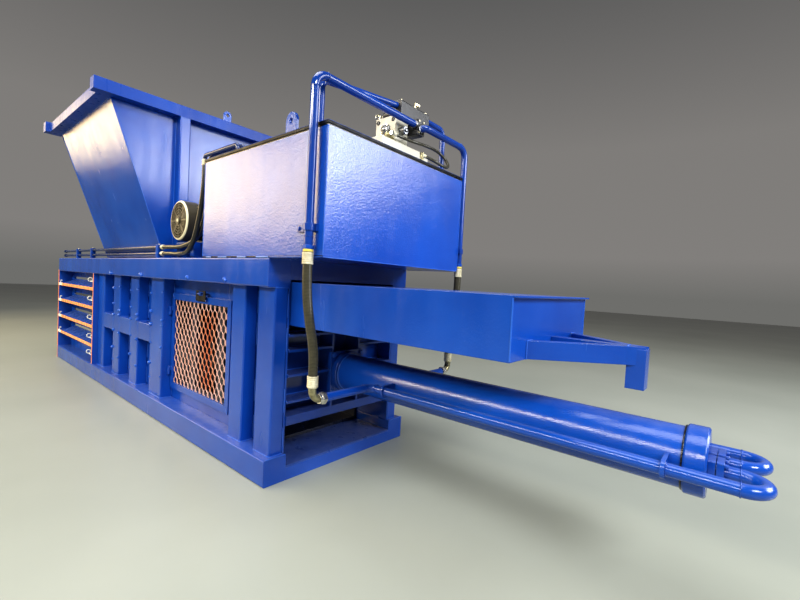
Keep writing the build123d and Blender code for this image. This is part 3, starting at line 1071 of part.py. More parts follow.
# Ram: grooved face plate, box body open at the sides and rear, shear knife on the top front edge
ram_half = chamber_half - RAM_SIDE_CLEARANCE
ram_bottom = floor_level + RAM_FLOOR_CLEARANCE
ram_rear = mount_back - RAM_REAR_GAP
ram_face_x = ram_rear - RAM_LENGTH
body_start = ram_face_x + RAM_FACE_THICKNESS
knife_seat = RAM_TOP - KNIFE_THICKNESS
ram_face = box_between(ram_face_x, body_start, -ram_half, ram_half, ram_bottom, knife_seat)
for slot_bottom in slot_bottoms:
    ram_face -= box_between(ram_face_x, ram_face_x + WIRE_GROOVE_DEPTH, -ram_half, ram_half,
                            slot_bottom, slot_bottom + TIE_SLOT_HEIGHT)
write("ram_face", ram_face)
ram_knife = box_between(ram_face_x, ram_face_x + RAM_KNIFE_LENGTH, -ram_half, ram_half,
                        knife_seat, RAM_TOP + RAM_KNIFE_RISE)
write("ram_knife", ram_knife)
ram = box_between(body_start, ram_rear, -ram_half, ram_half, ram_bottom, RAM_TOP)
ram -= box_between(body_start, ram_face_x + RAM_KNIFE_LENGTH, -ram_half, ram_half, knife_seat, RAM_TOP)
ram -= box_between(body_start, ram_rear - RAM_REAR_PLATE, -ram_half + RAM_PLATE, ram_half - RAM_PLATE,
                   ram_bottom + RAM_DECK, RAM_TOP - 2 * RAM_DECK)
for opening_low, opening_high in ((ram_bottom + RAM_DECK, RAM_REAR_BAND[0]),
                                  (RAM_REAR_BAND[1], RAM_TOP - 2 * RAM_DECK)):
    ram -= box_between(ram_rear - RAM_REAR_PLATE, ram_rear, -ram_half + RAM_PLATE, ram_half - RAM_PLATE,
                       opening_low, opening_high)
window_span = (ram_rear - RAM_REAR_PLATE - body_start) / RAM_SIDE_WINDOW_COUNT
window_length = window_span - RAM_DIAPHRAGM_WIDTH
window_low = (ram_bottom + RAM_TOP - RAM_SIDE_WINDOW_HEIGHT) / 2
for i in range(RAM_SIDE_WINDOW_COUNT):
    window_x = body_start + i * window_span + RAM_DIAPHRAGM_WIDTH / 2
    ram -= box_between(window_x, window_x + window_length, -ram_half, ram_half, window_low,
                       window_low + RAM_SIDE_WINDOW_HEIGHT)
web_outer = ram_half - RAM_PLATE
for i in range(1, RAM_SIDE_WINDOW_COUNT):
    web_x = body_start + i * window_span
    for side in (-1, 1):
        web_y = sorted((side * web_outer, side * (web_outer - RAM_SIDE_WINDOW_MARGIN)))
        ram += box_between(web_x - RAM_PLATE / 2, web_x + RAM_PLATE / 2, web_y[0], web_y[1],
                           ram_bottom + RAM_DECK, RAM_TOP - 2 * RAM_DECK)
write("ram_body", ram)

# Tail box: inverted channel that covers the throat while the ram is forward, with an end plate
tail_half = TAIL_WIDTH / 2
tail_bottom = RAM_TOP - TAIL_HEIGHT
tail = box_between(ram_rear, TAIL_END, -tail_half, tail_half, tail_bottom, RAM_TOP)
tail -= box_between(ram_rear, TAIL_END - TAIL_PLATE, -tail_half + TAIL_PLATE, tail_half - TAIL_PLATE,
                    tail_bottom, RAM_TOP - TAIL_PLATE)
tail += box_between(TAIL_END, TAIL_END + TAIL_LIP, -tail_half, tail_half, RAM_TOP - TAIL_PLATE, RAM_TOP)
for i in range(TAIL_STIFFENER_COUNT):
    stiffener_x = ram_rear + (i + 1) * (TAIL_END - ram_rear) / (TAIL_STIFFENER_COUNT + 1)
    tail += box_between(stiffener_x, stiffener_x + TAIL_PLATE, -tail_half + TAIL_PLATE,
                        tail_half - TAIL_PLATE, RAM_TOP - TAIL_PLATE - TAIL_STIFFENER_HEIGHT,
                        RAM_TOP - TAIL_PLATE)
write("tail_box", tail)
hanger_end = HANGER_X + HANGER_LENGTH
hanger_bottom = tail_bottom + HANGER_RISE - HANGER_HEIGHT
arms = box_between(TAIL_END, HANGER_X, -ARM_WIDTH / 2, ARM_WIDTH / 2, tail_bottom, tail_bottom + ARM_HEIGHT)
arms += box_between(HANGER_X, hanger_end, -HANGER_WIDTH / 2, HANGER_WIDTH / 2, hanger_bottom,
                    hanger_bottom + HANGER_HEIGHT)
for side in (-1, 1):
    arms += extrude(Pos(0, 0, tail_bottom) * make_face(Polyline(
        (TAIL_END, side * (ARM_SPREAD + ARM_WIDTH / 2)), (TAIL_END, side * (ARM_SPREAD - ARM_WIDTH / 2)),
        (HANGER_X, 0), (hanger_end - ARM_TIP_INSET, side * ARM_WIDTH / 2), (HANGER_X, side * ARM_WIDTH),
        close=True)), amount=ARM_HEIGHT)
write("tail_arms", arms)

# Piston and rod; the rod flange is bolted to the rear plate of the ram
piston_end = tube_end - CAP_SPIGOT_LENGTH - PISTON_CUSHION_GAP
piston_start = piston_end - PISTON_LENGTH
rod = along_cylinder(ROD_FLANGE_RADIUS, ram_rear, ram_rear + ROD_FLANGE_THICKNESS)
rod += along_cylinder(ROD_RADIUS, ram_rear, piston_start)
piston = along_cylinder(CYLINDER_BORE_RADIUS - ROD_CLEARANCE, piston_start, piston_end)
for ring_share in PISTON_RING_SHARES:
    ring_x = piston_start + PISTON_LENGTH * ring_share
    groove_start = ring_x - PISTON_RING_WIDTH / 2
    groove_end = ring_x + PISTON_RING_WIDTH / 2
    groove = along_cylinder(CYLINDER_BORE_RADIUS + CUT_OVERRUN, groove_start, groove_end)
    groove -= along_cylinder(CYLINDER_BORE_RADIUS - PISTON_RING_DEPTH, groove_start, groove_end)
    piston -= groove
write("piston_rod", rod + piston)

# Service door: flat bar frame, expanded metal panel, lift-off hinges and a hasp over its staple
door_back = -wall_outer - DOOR_SEAT_GAP
door_front = door_back - DOOR_THICKNESS
door_outline = Rectangle(DOOR_WIDTH, DOOR_HEIGHT) - door_window
door_frame = extrude(Plane.XZ.offset(-door_back) * door_centre * door_outline, amount=DOOR_THICKNESS)
hinge_y = door_front - HINGE_BARREL_RADIUS - HINGE_STANDOFF
hinge_x = door_start - HINGE_STANDOFF
hinge_pins = []
for hinge_z in (DOOR_BOTTOM + HINGE_INSET, door_top - HINGE_INSET - 2 * HINGE_BARREL_LENGTH):
    joint_z = hinge_z + HINGE_BARREL_LENGTH
    knuckle_top = joint_z + HINGE_END_GAP + HINGE_BARREL_LENGTH
    fixed = bar_between((hinge_x, hinge_y, hinge_z), (hinge_x, hinge_y, joint_z), HINGE_BARREL_RADIUS)
    fixed += box_between(door_post_face, hinge_x, hinge_y - HINGE_ARM_THICKNESS / 2,
                         hinge_y + HINGE_ARM_THICKNESS / 2, hinge_z, joint_z)
    fixed += bar_between((hinge_x, hinge_y, joint_z), (hinge_x, hinge_y, knuckle_top), HINGE_PIN_RADIUS)
    hinge_pins.append(fixed)
    knuckle = bar_between((hinge_x, hinge_y, joint_z + HINGE_END_GAP), (hinge_x, hinge_y, knuckle_top),
                          HINGE_BARREL_RADIUS)
    knuckle += box_between(hinge_x, hinge_x + HINGE_LEAF_LENGTH, door_front - HINGE_LEAF_THICKNESS,
                           door_front, joint_z + HINGE_END_GAP, knuckle_top)
    knuckle -= bar_between((hinge_x, hinge_y, joint_z), (hinge_x, hinge_y, knuckle_top + CUT_OVERRUN),
                           HINGE_PIN_RADIUS + HINGE_CLEARANCE)
    door_frame += knuckle
hasp_x = (door_start + door_end) / 2 + HASP_SHIFT
hasp_z = door_top - DOOR_BAR / 2
hasp_y = door_front - HASP_PIVOT_RADIUS - HASP_THICKNESS
ear_radius = HASP_PIVOT_RADIUS + HASP_KNUCKLE_WALL
hasp_ear_span = HASP_LENGTH / 2 + HASP_EAR_LENGTH
for side in (-1, 1):
    ear_x = sorted((hasp_x + side * (HASP_LENGTH / 2 + HINGE_END_GAP), hasp_x + side * hasp_ear_span))
    ear = box_between(ear_x[0], ear_x[1], hasp_y, door_front, hasp_z - ear_radius, hasp_z + ear_radius)
    ear += bar_between((ear_x[0], hasp_y, hasp_z), (ear_x[1], hasp_y, hasp_z), ear_radius)
    door_frame += ear
door_frame += bar_between((hasp_x - hasp_ear_span, hasp_y, hasp_z), (hasp_x + hasp_ear_span, hasp_y, hasp_z),
                          HASP_PIVOT_RADIUS)
write("door_frame", door_frame)

panel_width = DOOR_WIDTH - 2 * DOOR_BAR
panel_height = DOOR_HEIGHT - 2 * DOOR_BAR
half_wide = MESH_PITCH_WIDE / 2
half_tall = MESH_PITCH_TALL / 2
strand_run = math.hypot(half_wide, half_tall)
hole_wide = half_wide - MESH_STRAND / 2 * strand_run / half_tall
hole_tall = half_tall - MESH_STRAND / 2 * strand_run / half_wide
diamond = make_face(Polyline((hole_wide, 0), (0, hole_tall), (-hole_wide, 0), (0, -hole_tall), close=True))
column_count = math.ceil(panel_width / half_wide) + 1
row_count = math.ceil(panel_height / MESH_PITCH_TALL) + 1
diamonds = []
for column in range(column_count):
    for row in range(row_count):
        centre_x = (column - (column_count - 1) / 2) * half_wide
        centre_z = (row - (row_count - 1) / 2) * MESH_PITCH_TALL + (column % 2) * half_tall
        if abs(centre_x) < panel_width / 2 + hole_wide and abs(centre_z) < panel_height / 2 + hole_tall:
            diamonds.append(Pos(centre_x, centre_z) * diamond)
mesh_sheet = Rectangle(panel_width, panel_height) - diamonds
mesh_front = (door_back + door_front - MESH_THICKNESS) / 2
mesh_panel = extrude(Plane.XZ.offset(-mesh_front - MESH_THICKNESS) * door_centre * mesh_sheet,
                     amount=MESH_THICKNESS)
write("door_mesh", max(mesh_panel.solids(), key=lambda piece: piece.volume))

hasp = bar_between((hasp_x - HASP_LENGTH / 2, hasp_y, hasp_z), (hasp_x + HASP_LENGTH / 2, hasp_y, hasp_z),
                   ear_radius)
hasp += box_between(hasp_x - HASP_LENGTH / 2, hasp_x + HASP_LENGTH / 2, hasp_y - ear_radius,
                    hasp_y - ear_radius + HASP_THICKNESS, hasp_z, hasp_z + HASP_HEIGHT)
hasp -= bar_between((hasp_x - HASP_LENGTH, hasp_y, hasp_z), (hasp_x + HASP_LENGTH, hasp_y, hasp_z),
                    HASP_PIVOT_RADIUS + HINGE_CLEARANCE)
staple_z = door_top + (hasp_z + HASP_HEIGHT - door_top) / 2
slot_half_height = STAPLE_RADIUS + HASP_SLOT_CLEARANCE
hasp -= box_between(hasp_x - HASP_SLOT_HALF, hasp_x + HASP_SLOT_HALF, hasp_y - ear_radius, hasp_y,
                    staple_z - slot_half_height, staple_z + slot_half_height)
write("door_hasp", hasp)
staple_reach = hasp_y - ear_radius - STAPLE_REACH
staple_left = hasp_x - STAPLE_HALF
staple_right = hasp_x + STAPLE_HALF
staple = bent_pipe(((staple_left, -wall_outer, staple_z), (staple_left, staple_reach, staple_z),
                    (staple_right, staple_reach, staple_z), (staple_right, -wall_outer, staple_z)),
                   [STAPLE_BEND, STAPLE_BEND], STAPLE_RADIUS)
write("door_fixings", *hinge_pins, staple)
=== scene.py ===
import math

import bmesh
import bpy
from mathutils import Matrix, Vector


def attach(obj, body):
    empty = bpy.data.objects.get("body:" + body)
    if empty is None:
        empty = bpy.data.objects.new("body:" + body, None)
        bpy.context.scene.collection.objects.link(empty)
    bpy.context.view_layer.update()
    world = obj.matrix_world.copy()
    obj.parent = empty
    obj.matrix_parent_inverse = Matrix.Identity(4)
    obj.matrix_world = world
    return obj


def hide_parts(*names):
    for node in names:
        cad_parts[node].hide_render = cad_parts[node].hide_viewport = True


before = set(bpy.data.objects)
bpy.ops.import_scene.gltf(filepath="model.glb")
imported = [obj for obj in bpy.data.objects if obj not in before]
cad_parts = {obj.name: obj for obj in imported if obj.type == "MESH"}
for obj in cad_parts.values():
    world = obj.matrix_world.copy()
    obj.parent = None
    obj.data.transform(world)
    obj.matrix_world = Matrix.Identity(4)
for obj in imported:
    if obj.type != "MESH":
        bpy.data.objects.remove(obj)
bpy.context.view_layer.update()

# The camera stands low at the cylinder end of the press, where the photograph was taken.
# It is a wide lens at chest height, looking along the machine toward its hopper.


def put(name, data):
    """A new object in the scene, at the origin."""
    made = bpy.data.objects.new(name, data)
    bpy.context.scene.collection.objects.link(made)
    return made


camera_data = bpy.data.cameras.new("camera")
camera_data.lens = 18.6
camera_data.sensor_width = 36.0
camera_data.clip_end = 200.0
camera = put("camera", camera_data)
camera.location = (4.4599, -1.8956, 1.1868)
camera.rotation_euler = [math.radians(angle) for angle in (87.864, -3.011, 39.933)]
bpy.context.scene.camera = camera

# Rubber hoses: two large ones feed the main cylinder, one small one loops beside the valve stand.
# Their covers are black oil-resistant rubber over wire braid, wrapped while curing, so the ribs of
# the wrapping tape stay in the surface, with olive dust in them.
MM = 0.001


def wire(tree, node, inputs):
    """Sets a node's sockets to values, or wires them from other nodes' outputs."""
    for key, value in inputs.items():
        if isinstance(value, bpy.types.NodeSocket):
            tree.links.new(value, node.inputs[key])
        else:
            node.inputs[key].default_value = value


def add(tree, kind, inputs, output=0, **settings):
    """Adds one node to a tree, wired up, and gives one of its outputs."""
    node = tree.nodes.new(kind)
    for key, value in settings.items():
        setattr(node, key, value)
    wire(tree, node, inputs)
    return node.outputs[output]


def calc(tree, operation, *values):
    """A sum of outputs and numbers."""
    return add(tree, "ShaderNodeMath", dict(enumerate(values)), operation=operation)


def noise(tree, place, scale, detail):
    """Cloudy noise from 0 to 1."""
    return add(tree, "ShaderNodeTexNoise", {"Vector": place, "Scale": scale, "Detail": detail})


def bump(tree, height, strength, distance, inputs=None):
    """A normal raised by a height, in metres."""
    return add(tree, "ShaderNodeBump", {"Height": height, "Strength": strength, "Distance": distance,
                                        **(inputs or {})})


def ramp(tree, factor, *stops):
    """A colour that follows a factor through these (position, colour) stops."""
    color = add(tree, "ShaderNodeValToRGB", {"Fac": factor})
    elements = color.node.color_ramp.elements
    while len(elements) < len(stops):
        elements.new(0.5)
    for element, (position, tint) in zip(elements, stops):
        element.position = position
        element.color = (*tint, 1)
    return color


def new_material(name):
    """An empty material for a slot, with its tree, its shader and its Object coordinates."""
    material = bpy.data.materials.new(name)
    material.use_nodes = True
    tree = material.node_tree
    return material, tree, tree.nodes["Principled BSDF"], add(tree, "ShaderNodeTexCoord", {}, "Object")


def rubber(name, clean, dusty, ridge_turns):
    """Hose rubber with the ribs of its curing tape and dust that settles between them."""
    material, tree, shader, place = new_material(name)
    tape = add(tree, "ShaderNodeTexWave", {"Vector": place, "Scale": ridge_turns, "Distortion": 1.2},
               "Fac", bands_direction="Z")
    dust = calc(tree, "MULTIPLY", noise(tree, place, 38.0, 6.0), tape)
    wire(tree, shader, {"Base Color": ramp(tree, dust, (0.12, dusty), (0.5, clean)),
                        "Roughness": 0.26, "Normal": bump(tree, tape, 0.35, 0.0008)})
    return material


def hose(name, radius_mm, material, points_mm):
    """A smooth rubber hose along its route; the route's points pull it like a hand would."""
    curve = bpy.data.curves.new(name, "CURVE")
    curve.dimensions = "3D"
    curve.bevel_depth = radius_mm * MM
    curve.bevel_resolution = 8
    curve.resolution_u = 12
    spline = curve.splines.new("NURBS")
    spline.points.add(len(points_mm) - 1)
    for control, point in zip(spline.points, points_mm):
        control.co = (*[c * MM for c in point], 1)
    spline.order_u = 3
    spline.use_endpoint_u = True
    curve.materials.append(material)
    piece = put(name, curve)
    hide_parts(name.replace("_rubber", ""))
    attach(piece, "press_frame")


hose_rubber = rubber("hose_rubber", (0.021, 0.020, 0.013), (0.060, 0.055, 0.034), 46.0)
hose("hose_near_rubber", 24.0, hose_rubber, [
    (2812, -638, 1262), (2812, -638, 1142), (2836, -629, 978), (2850, -604, 835), (2850, -604, 715)])
hose("hose_far_rubber", 24.0, hose_rubber, [
    (2872, 638, 1262), (2872, 638, 1142), (2865, 631, 978), (2850, 604, 835), (2850, 604, 715)])
hose("valve_hose_rubber", 9.5, hose_rubber, [
    (2790, -10, 2084), (2790, 80, 2084), (2795, 172, 2090), (2801, 268, 2096), (2802, 360, 2099),
    (2798, 439, 2094), (2818, 477, 2063), (2848, 477, 2017), (2868, 439, 1985), (2867, 378, 1984),
    (2860, 318, 1994), (2856, 258, 2000), (2856, 200, 2000)])

# Thin service lines: hoses drop from the tank lid past the motor and run on to the rail tubes.
# They are the same rubber with a blacker, shinier cover.
line_rubber = rubber("line_rubber", (0.006, 0.006, 0.006), (0.016, 0.016, 0.015), 60.0)
hose("line_hose_upper_rubber", 16.5, line_rubber, [
    (1592, -560, 1925), (1592, -560, 1790), (1568, -562, 1640), (1512, -565, 1500), (1408, -562, 1428),
    (1262, -566, 1393), (1126, -564, 1384), (995, -565, 1388), (860, -565, 1388)])
hose("line_hose_lower_rubber", 16.5, line_rubber, [
    (1592, -597, 1925), (1592, -597, 1790), (1556, -600, 1600), (1466, -600, 1408), (1338, -588, 1335),
    (1200, -568, 1331), (1076, -564, 1332), (995, -565, 1336), (860, -565, 1336)])

# Welded frame: rectangular steel sections and plates, sprayed royal blue as one weldment.
# The enamel is heavy and glossy: it has an orange peel and soft runs. Its edges are pale, partly from wear
# and partly as painted highlight.


def spread(tree, value, old_low, old_high, low, high):
    """Moves a value from one range to another."""
    return add(tree, "ShaderNodeMapRange", {
        "Value": value, "From Min": old_low, "From Max": old_high, "To Min": low, "To Max": high})


def mix(tree, share, under, over):
    """A plain colour laid over another by a share."""
    return add(tree, "ShaderNodeMixRGB", {"Fac": share, "Color1": under, "Color2": (*over, 1)})


royal_blue = (0.006, 0.070, 0.385)
deep_blue = (0.005, 0.050, 0.30)
top_dust_and_light_grey = (0.45, 0.44, 0.42)
top_dust_and_light_share = 0.16
edge_radius = 0.004


def enamel(name, light, deep, roughness, peel, rubbed_and_lit, trims=(), specular=0.5):
    """Sprayed enamel, pale at its edges from wear and painted highlight; trims are colours in ranges of x,
    |y| or z.
    """
    material, tree, shader, place = new_material(name)
    color = ramp(tree, noise(tree, place, 2.4, 5.0), (0.32, deep), (0.68, light))
    rounded = add(tree, "ShaderNodeBevel", {"Radius": edge_radius}, samples=4)
    flat = add(tree, "ShaderNodeNewGeometry", {}, "Normal")
    turn = add(tree, "ShaderNodeVectorMath", {0: rounded, 1: flat}, "Value", operation="DOT_PRODUCT")
    patches = noise(tree, place, 21.0, 4.0)
    # Edges are mixed toward a paler blue: partly wear, partly painted highlight.
    edge_wear_and_highlight = calc(tree, "MULTIPLY", spread(tree, turn, 0.99, 0.86, 0.0, rubbed_and_lit), patches)
    color = mix(tree, edge_wear_and_highlight, color, [0.72 * c + 0.07 for c in light])
    # Faces that look up are mixed toward grey: partly settled dust, partly painted light on the tops.
    upward = add(tree, "ShaderNodeSeparateXYZ", {0: flat}, "Z")
    dust = calc(tree, "MULTIPLY", spread(tree, upward, 0.80, 0.98, 0.0, top_dust_and_light_share), patches)
    color = mix(tree, dust, color, top_dust_and_light_grey)
    if trims:
        x, y, z = add(tree, "ShaderNodeSeparateXYZ", {0: place}).node.outputs
        values = {"x": x, "y": calc(tree, "ABSOLUTE", y), "z": z}
    for tint, ranges in trims:
        mask = 1.0
        for axis, (low, high) in ranges.items():
            inside = calc(tree, "COMPARE", values[axis], (low + high) / 2, (high - low) / 2)
            mask = calc(tree, "MULTIPLY", mask, inside)
        color = mix(tree, mask, color, tint)
    stretch = add(tree, "ShaderNodeMapping", {"Vector": place, "Scale": (14.0, 14.0, 1.6)})
    runs = noise(tree, stretch, 1.0, 3.0)
    normal = rounded
    for height, share in ((noise(tree, place, 115.0, 3.0), 1.8), (runs, 0.6),
                          (noise(tree, place, 6.5, 2.0), 2.4)):
        normal = bump(tree, height, 0.5, share * peel, {"Normal": normal})
    wire(tree, shader, {
        "Base Color": color, "Normal": normal, "Specular IOR Level": specular,
        "Roughness": spread(tree, runs, 0.3, 0.75, 0.75 * roughness, 1.5 * roughness)})
    return material


def finish_nodes(material, *names):
    """Gives these carried-over nodes their finish."""
    for name in names:
        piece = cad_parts[name]
        piece.data.materials.clear()
        piece.data.materials.append(material)


blue_enamel = enamel("blue_enamel", royal_blue, deep_blue, 0.19, 0.0008, 0.7)
finish_nodes(blue_enamel, "base_rails", "top_rails", "base_cross_members", "side_posts",
             "chamber_wall_near", "chamber_wall_far", "chamber_roof", "top_headers")

# Chamber floor: a thick plate welded over the cross members. Every bale slides over it, so its
# enamel is thin and dull along the middle; its blue is painted darker than the frame's all over, as
# painted shade inside the chamber.
floor_shade_blue = enamel("floor_shade_blue", (0.010, 0.058, 0.29), (0.006, 0.038, 0.21), 0.32, 0.0006, 0.7)
finish_nodes(floor_shade_blue, "floor_plate")

# Weld beads of the frame: short stick welds laid in the corners after the sections are clamped, so
# they ripple and swell, and are painted over with the steel, in a paler blue that is painted
# highlight. Plug welds fill holes in the posts and rails, and spatter sits beside the thick beads.
socket_kinds = {float: "Float", int: "Int", tuple: "Vector", type(None): "Object"}


def start_tree(name, sizes):
    """A Geometry Nodes tree with these named inputs and a finish; gives it and its inputs."""
    tree = bpy.data.node_groups.new(name, "GeometryNodeTree")
    tree.interface.new_socket("Geometry", in_out="INPUT", socket_type="NodeSocketGeometry")
    for label, value in sizes.items():
        socket = tree.interface.new_socket(label, in_out="INPUT",
                                           socket_type="NodeSocket" + socket_kinds[type(value)])
        if value is not None:
            socket.default_value = value
    tree.interface.new_socket("Finish", in_out="INPUT", socket_type="NodeSocketMaterial")
    tree.interface.new_socket("Geometry", in_out="OUTPUT", socket_type="NodeSocketGeometry")
    return tree, tree.nodes.new("NodeGroupInput").outputs


def finish_tree(tree, sizes, geometry, smooth=True):
    """Realizes the instances, shades them and gives them their material."""
    geometry = add(tree, "GeometryNodeRealizeInstances", {0: geometry})
    geometry = add(tree, "GeometryNodeSetShadeSmooth", {0: geometry, "Shade Smooth": smooth})
    geometry = add(tree, "GeometryNodeSetMaterial", {0: geometry, "Material": sizes["Finish"]})
    wire(tree, tree.nodes.new("NodeGroupOutput"), {"Geometry": geometry})


def paths_mesh(name, paths_mm):
    """A mesh of open edge paths, in metres; a path of one point is a loose point."""
    points = []
    edges = []
    for path in paths_mm:
        start = len(points)
        points.extend(tuple(c * MM for c in point) for point in path)
        edges.extend((start + i, start + i + 1) for i in range(len(path) - 1))
    mesh = bpy.data.meshes.new(name)
    mesh.from_pydata(points, edges, [])
    return mesh


def grow(name, seed_mesh, tree, sizes, finish, body="press_frame"):
    """Runs a tree on a seed mesh and keeps what it makes as one plain mesh on its body."""
    piece = put(name, seed_mesh)
    modifier = piece.modifiers.new("grow", "NODES")
    modifier.node_group = tree
    for label, value in {**sizes, "Finish": finish}.items():
        modifier[tree.interface.items_tree[label].identifier] = value
    view = bpy.context.evaluated_depsgraph_get()
    grown = bpy.data.meshes.new_from_object(piece.evaluated_get(view))
    piece.modifiers.clear()
    piece.data = grown
    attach(piece, body)
    return piece


bead_tree, bead = start_tree("weld_bead", {
    "Bead Radius": 0.005, "Ripple Pitch": 0.011, "Ripple Depth": 0.16, "Step": 0.0045, "Sides": 6})
bead_line = add(bead_tree, "GeometryNodeMeshToCurve", {0: bead["Geometry"]})
bead_line = add(bead_tree, "GeometryNodeResampleCurve", {0: bead_line, "Length": bead["Step"]}, mode="LENGTH")
along = add(bead_tree, "GeometryNodeSplineParameter", {}, "Length")
ripple = calc(bead_tree, "MULTIPLY", calc(bead_tree, "DIVIDE", along, bead["Ripple Pitch"]), math.tau)
swell = add(bead_tree, "ShaderNodeTexNoise", {"Scale": 16.0, "Detail": 2.0})
swell = calc(bead_tree, "ADD", calc(bead_tree, "MULTIPLY_ADD", swell, 3.0, -1.5),
             calc(bead_tree, "SINE", ripple))
swell = calc(bead_tree, "MULTIPLY_ADD", swell, bead["Ripple Depth"], 1.0)
bead_round = add(bead_tree, "GeometryNodeCurvePrimitiveCircle", {"Resolution": bead["Sides"], "Radius": 1.0})
finish_tree(bead_tree, bead, add(bead_tree, "GeometryNodeCurveToMesh", {
    "Curve": bead_line, "Profile Curve": bead_round, "Fill Caps": True,
    "Scale": calc(bead_tree, "MULTIPLY", swell, bead["Bead Radius"])}))
# The beads' blue is paler than the steel's: painted highlight.
bead_highlight_enamel = enamel("bead_highlight_enamel", (0.030, 0.125, 0.52), (0.016, 0.090, 0.44), 0.1, 0.0004, 0.9)


def weld(name, paths_mm, radius_mm, finish=bead_highlight_enamel, body="press_frame"):
    """Rippled beads along these paths, by default in a paler blue than the steel they join: painted
    highlight.
    """
    grow(name, paths_mesh(name, paths_mm), bead_tree, {"Bead Radius": radius_mm * MM}, finish, body)


def both_sides(paths_mm):
    """The same paths on the near and on the far side."""
    return paths_mm + [[(x, -y, z) for x, y, z in path] for path in paths_mm]


def stitches(start_x, end_x, y, z, bead_length, pitch):
    """Short welds of one length along X, a pitch apart."""
    starts = [start_x + i * pitch for i in range(int((end_x - start_x) / pitch) + 1)]
    return [[(x, y, z), (x + bead_length, y, z)] for x in starts]


chamber_posts = ((-906, -696), (-396, -206), (94, 284), (584, 840))
end_posts = ((1945, 2105), (2250, 2424))
pockets = ((-696, -396), (-206, 94), (284, 584))
wall_y, post_y, rail_y = -467, -555, -605
post_seams = []
wall_seams = []
for start_x, end_x in chamber_posts + end_posts:
    for z in (157, 1133):
        post_seams.append([
            (start_x - 1, wall_y - 1, z), (start_x - 1, post_y + 9, z), (start_x + 8, post_y, z),
            (end_x - 8, post_y, z), (end_x + 1, post_y + 9, z), (end_x + 1, wall_y - 1, z)])
    for x in (start_x - 1, end_x + 1):
        wall_seams.extend([[(x, wall_y, low), (x, wall_y, low + 140)] for low in (170, 400, 760, 960)])
for start_x, end_x in pockets:
    for x in (start_x, end_x):
        post_seams.append([(x, post_y + 4, 588), (x, post_y + 4, 727)])
    for z in (579, 736):
        for x in (start_x + 3, end_x - 3):
            post_seams.append([(x, wall_y - 3, z), (x, post_y + 9, z)])
        post_seams.append([(start_x + 8, wall_y, z), (end_x - 8, wall_y, z)])
weld("post_welds", both_sides(post_seams), 4.2)
weld("wall_welds", both_sides(wall_seams), 3.4)
weld("rail_welds", both_sides(
    stitches(-2430, -800, -454, 1181, 90, 300) + stitches(-2400, 2300, -455, 155, 70, 260)
    + [[(2451, -596, 157), (2451, -462, 157)]]), 4.0)

FULL_TURN = 6.28
blob_tree, blob = start_tree("weld_blob", {
    "Blob Radius": 0.006, "Smallest": 0.5, "Largest": 1.2, "Seed": 3})
push = add(blob_tree, "ShaderNodeTexNoise", {"Scale": 150.0, "Detail": 1.0}, "Color")
push = add(blob_tree, "ShaderNodeVectorMath", {0: push, 1: (0.5, 0.5, 0.5)}, operation="SUBTRACT")
push = add(blob_tree, "ShaderNodeVectorMath", {0: push, "Scale": blob["Blob Radius"]}, operation="SCALE")
ball = add(blob_tree, "GeometryNodeMeshIcoSphere", {"Radius": blob["Blob Radius"], "Subdivisions": 2})
finish_tree(blob_tree, blob, add(blob_tree, "GeometryNodeInstanceOnPoints", {
    "Points": blob["Geometry"],
    "Instance": add(blob_tree, "GeometryNodeSetPosition", {0: ball, "Offset": push}),
    "Rotation": add(blob_tree, "FunctionNodeRandomValue", {
        0: (0.0, 0.0, 0.0), 1: (FULL_TURN,) * 3, "Seed": blob["Seed"]}, data_type="FLOAT_VECTOR"),
    "Scale": add(blob_tree, "FunctionNodeRandomValue", {
        2: blob["Smallest"], 3: blob["Largest"], "Seed": blob["Seed"]}, 1, data_type="FLOAT")}))


def blobs(name, radius_mm, points_mm):
    """Rough round lumps of weld metal at these points of the near side and the far side."""
    grow(name, paths_mesh(name, both_sides([[point] for point in points_mm])), blob_tree,
         {"Blob Radius": radius_mm * MM}, bead_highlight_enamel)


plug_welds = []
for start_x, end_x in chamber_posts[1:]:
    for x, heights in ((start_x + 14, (1004, 851, 742, 586, 414, 290)),
                       (end_x - 14, (1020, 793, 748, 570, 330))):
        plug_welds.extend([(x + 5 * math.sin(z), post_y, z) for z in heights])
for shift_x, shift_z in ((0, 0), (12, -8)):
    plug_welds.extend([(x + shift_x, rail_y, z + shift_z)
                       for x, z in ((-317, 1158), (496, 1158), (1398, 1160), (1937, 1163))])
blobs("plug_welds", 14, plug_welds)
spatter = []
spatter_count = 260
for i in range(spatter_count):
    start_x, end_x = chamber_posts[i % len(chamber_posts)]
    beside = start_x - 6 if i % 3 else end_x + 6
    rise = 14 * math.sin(i) ** 2
    spatter.append((beside + 16 * math.sin(7.1 * i), wall_y, 180 + (i * 733) % 930))
    spatter.append((start_x + (end_x - start_x) * ((i * 0.377) % 1), post_y,
                    163 + rise if i % 2 else 1127 - rise))
blobs("weld_spatter", 2.8, spatter)

# Outlet: four shelves guide the tying wires on each side. They are folded blue plates whose front
# lips are brushed orange, with the first hand's width of each lip coloured white, where the wire is hooked
# in.
shelf_lip = (0.5988, 0.61)
shelf_enamel = enamel("shelf_enamel", royal_blue, deep_blue, 0.26, 0.0009, 0.6, (
    ((0.90, 0.36, 0.13), {"y": shelf_lip}),
    ((0.86, 0.84, 0.78), {"y": shelf_lip, "x": (-2.46, -2.30)})))
finish_nodes(shelf_enamel, "outlet_shelves")
shelf_tops = (370, 574, 778, 982)
lip_y = -590

# Edge plates close the outlet at both ends: thick flame-cut plates, welded to the walls and rails
# and brushed orange on their outer edge.
edge_enamel = enamel("edge_enamel", royal_blue, deep_blue, 0.3, 0.0009, 0.5, (
    ((0.84, 0.27, 0.10), {"y": (0.6003, 0.61)}),))
finish_nodes(edge_enamel, "outlet_edge_plates")

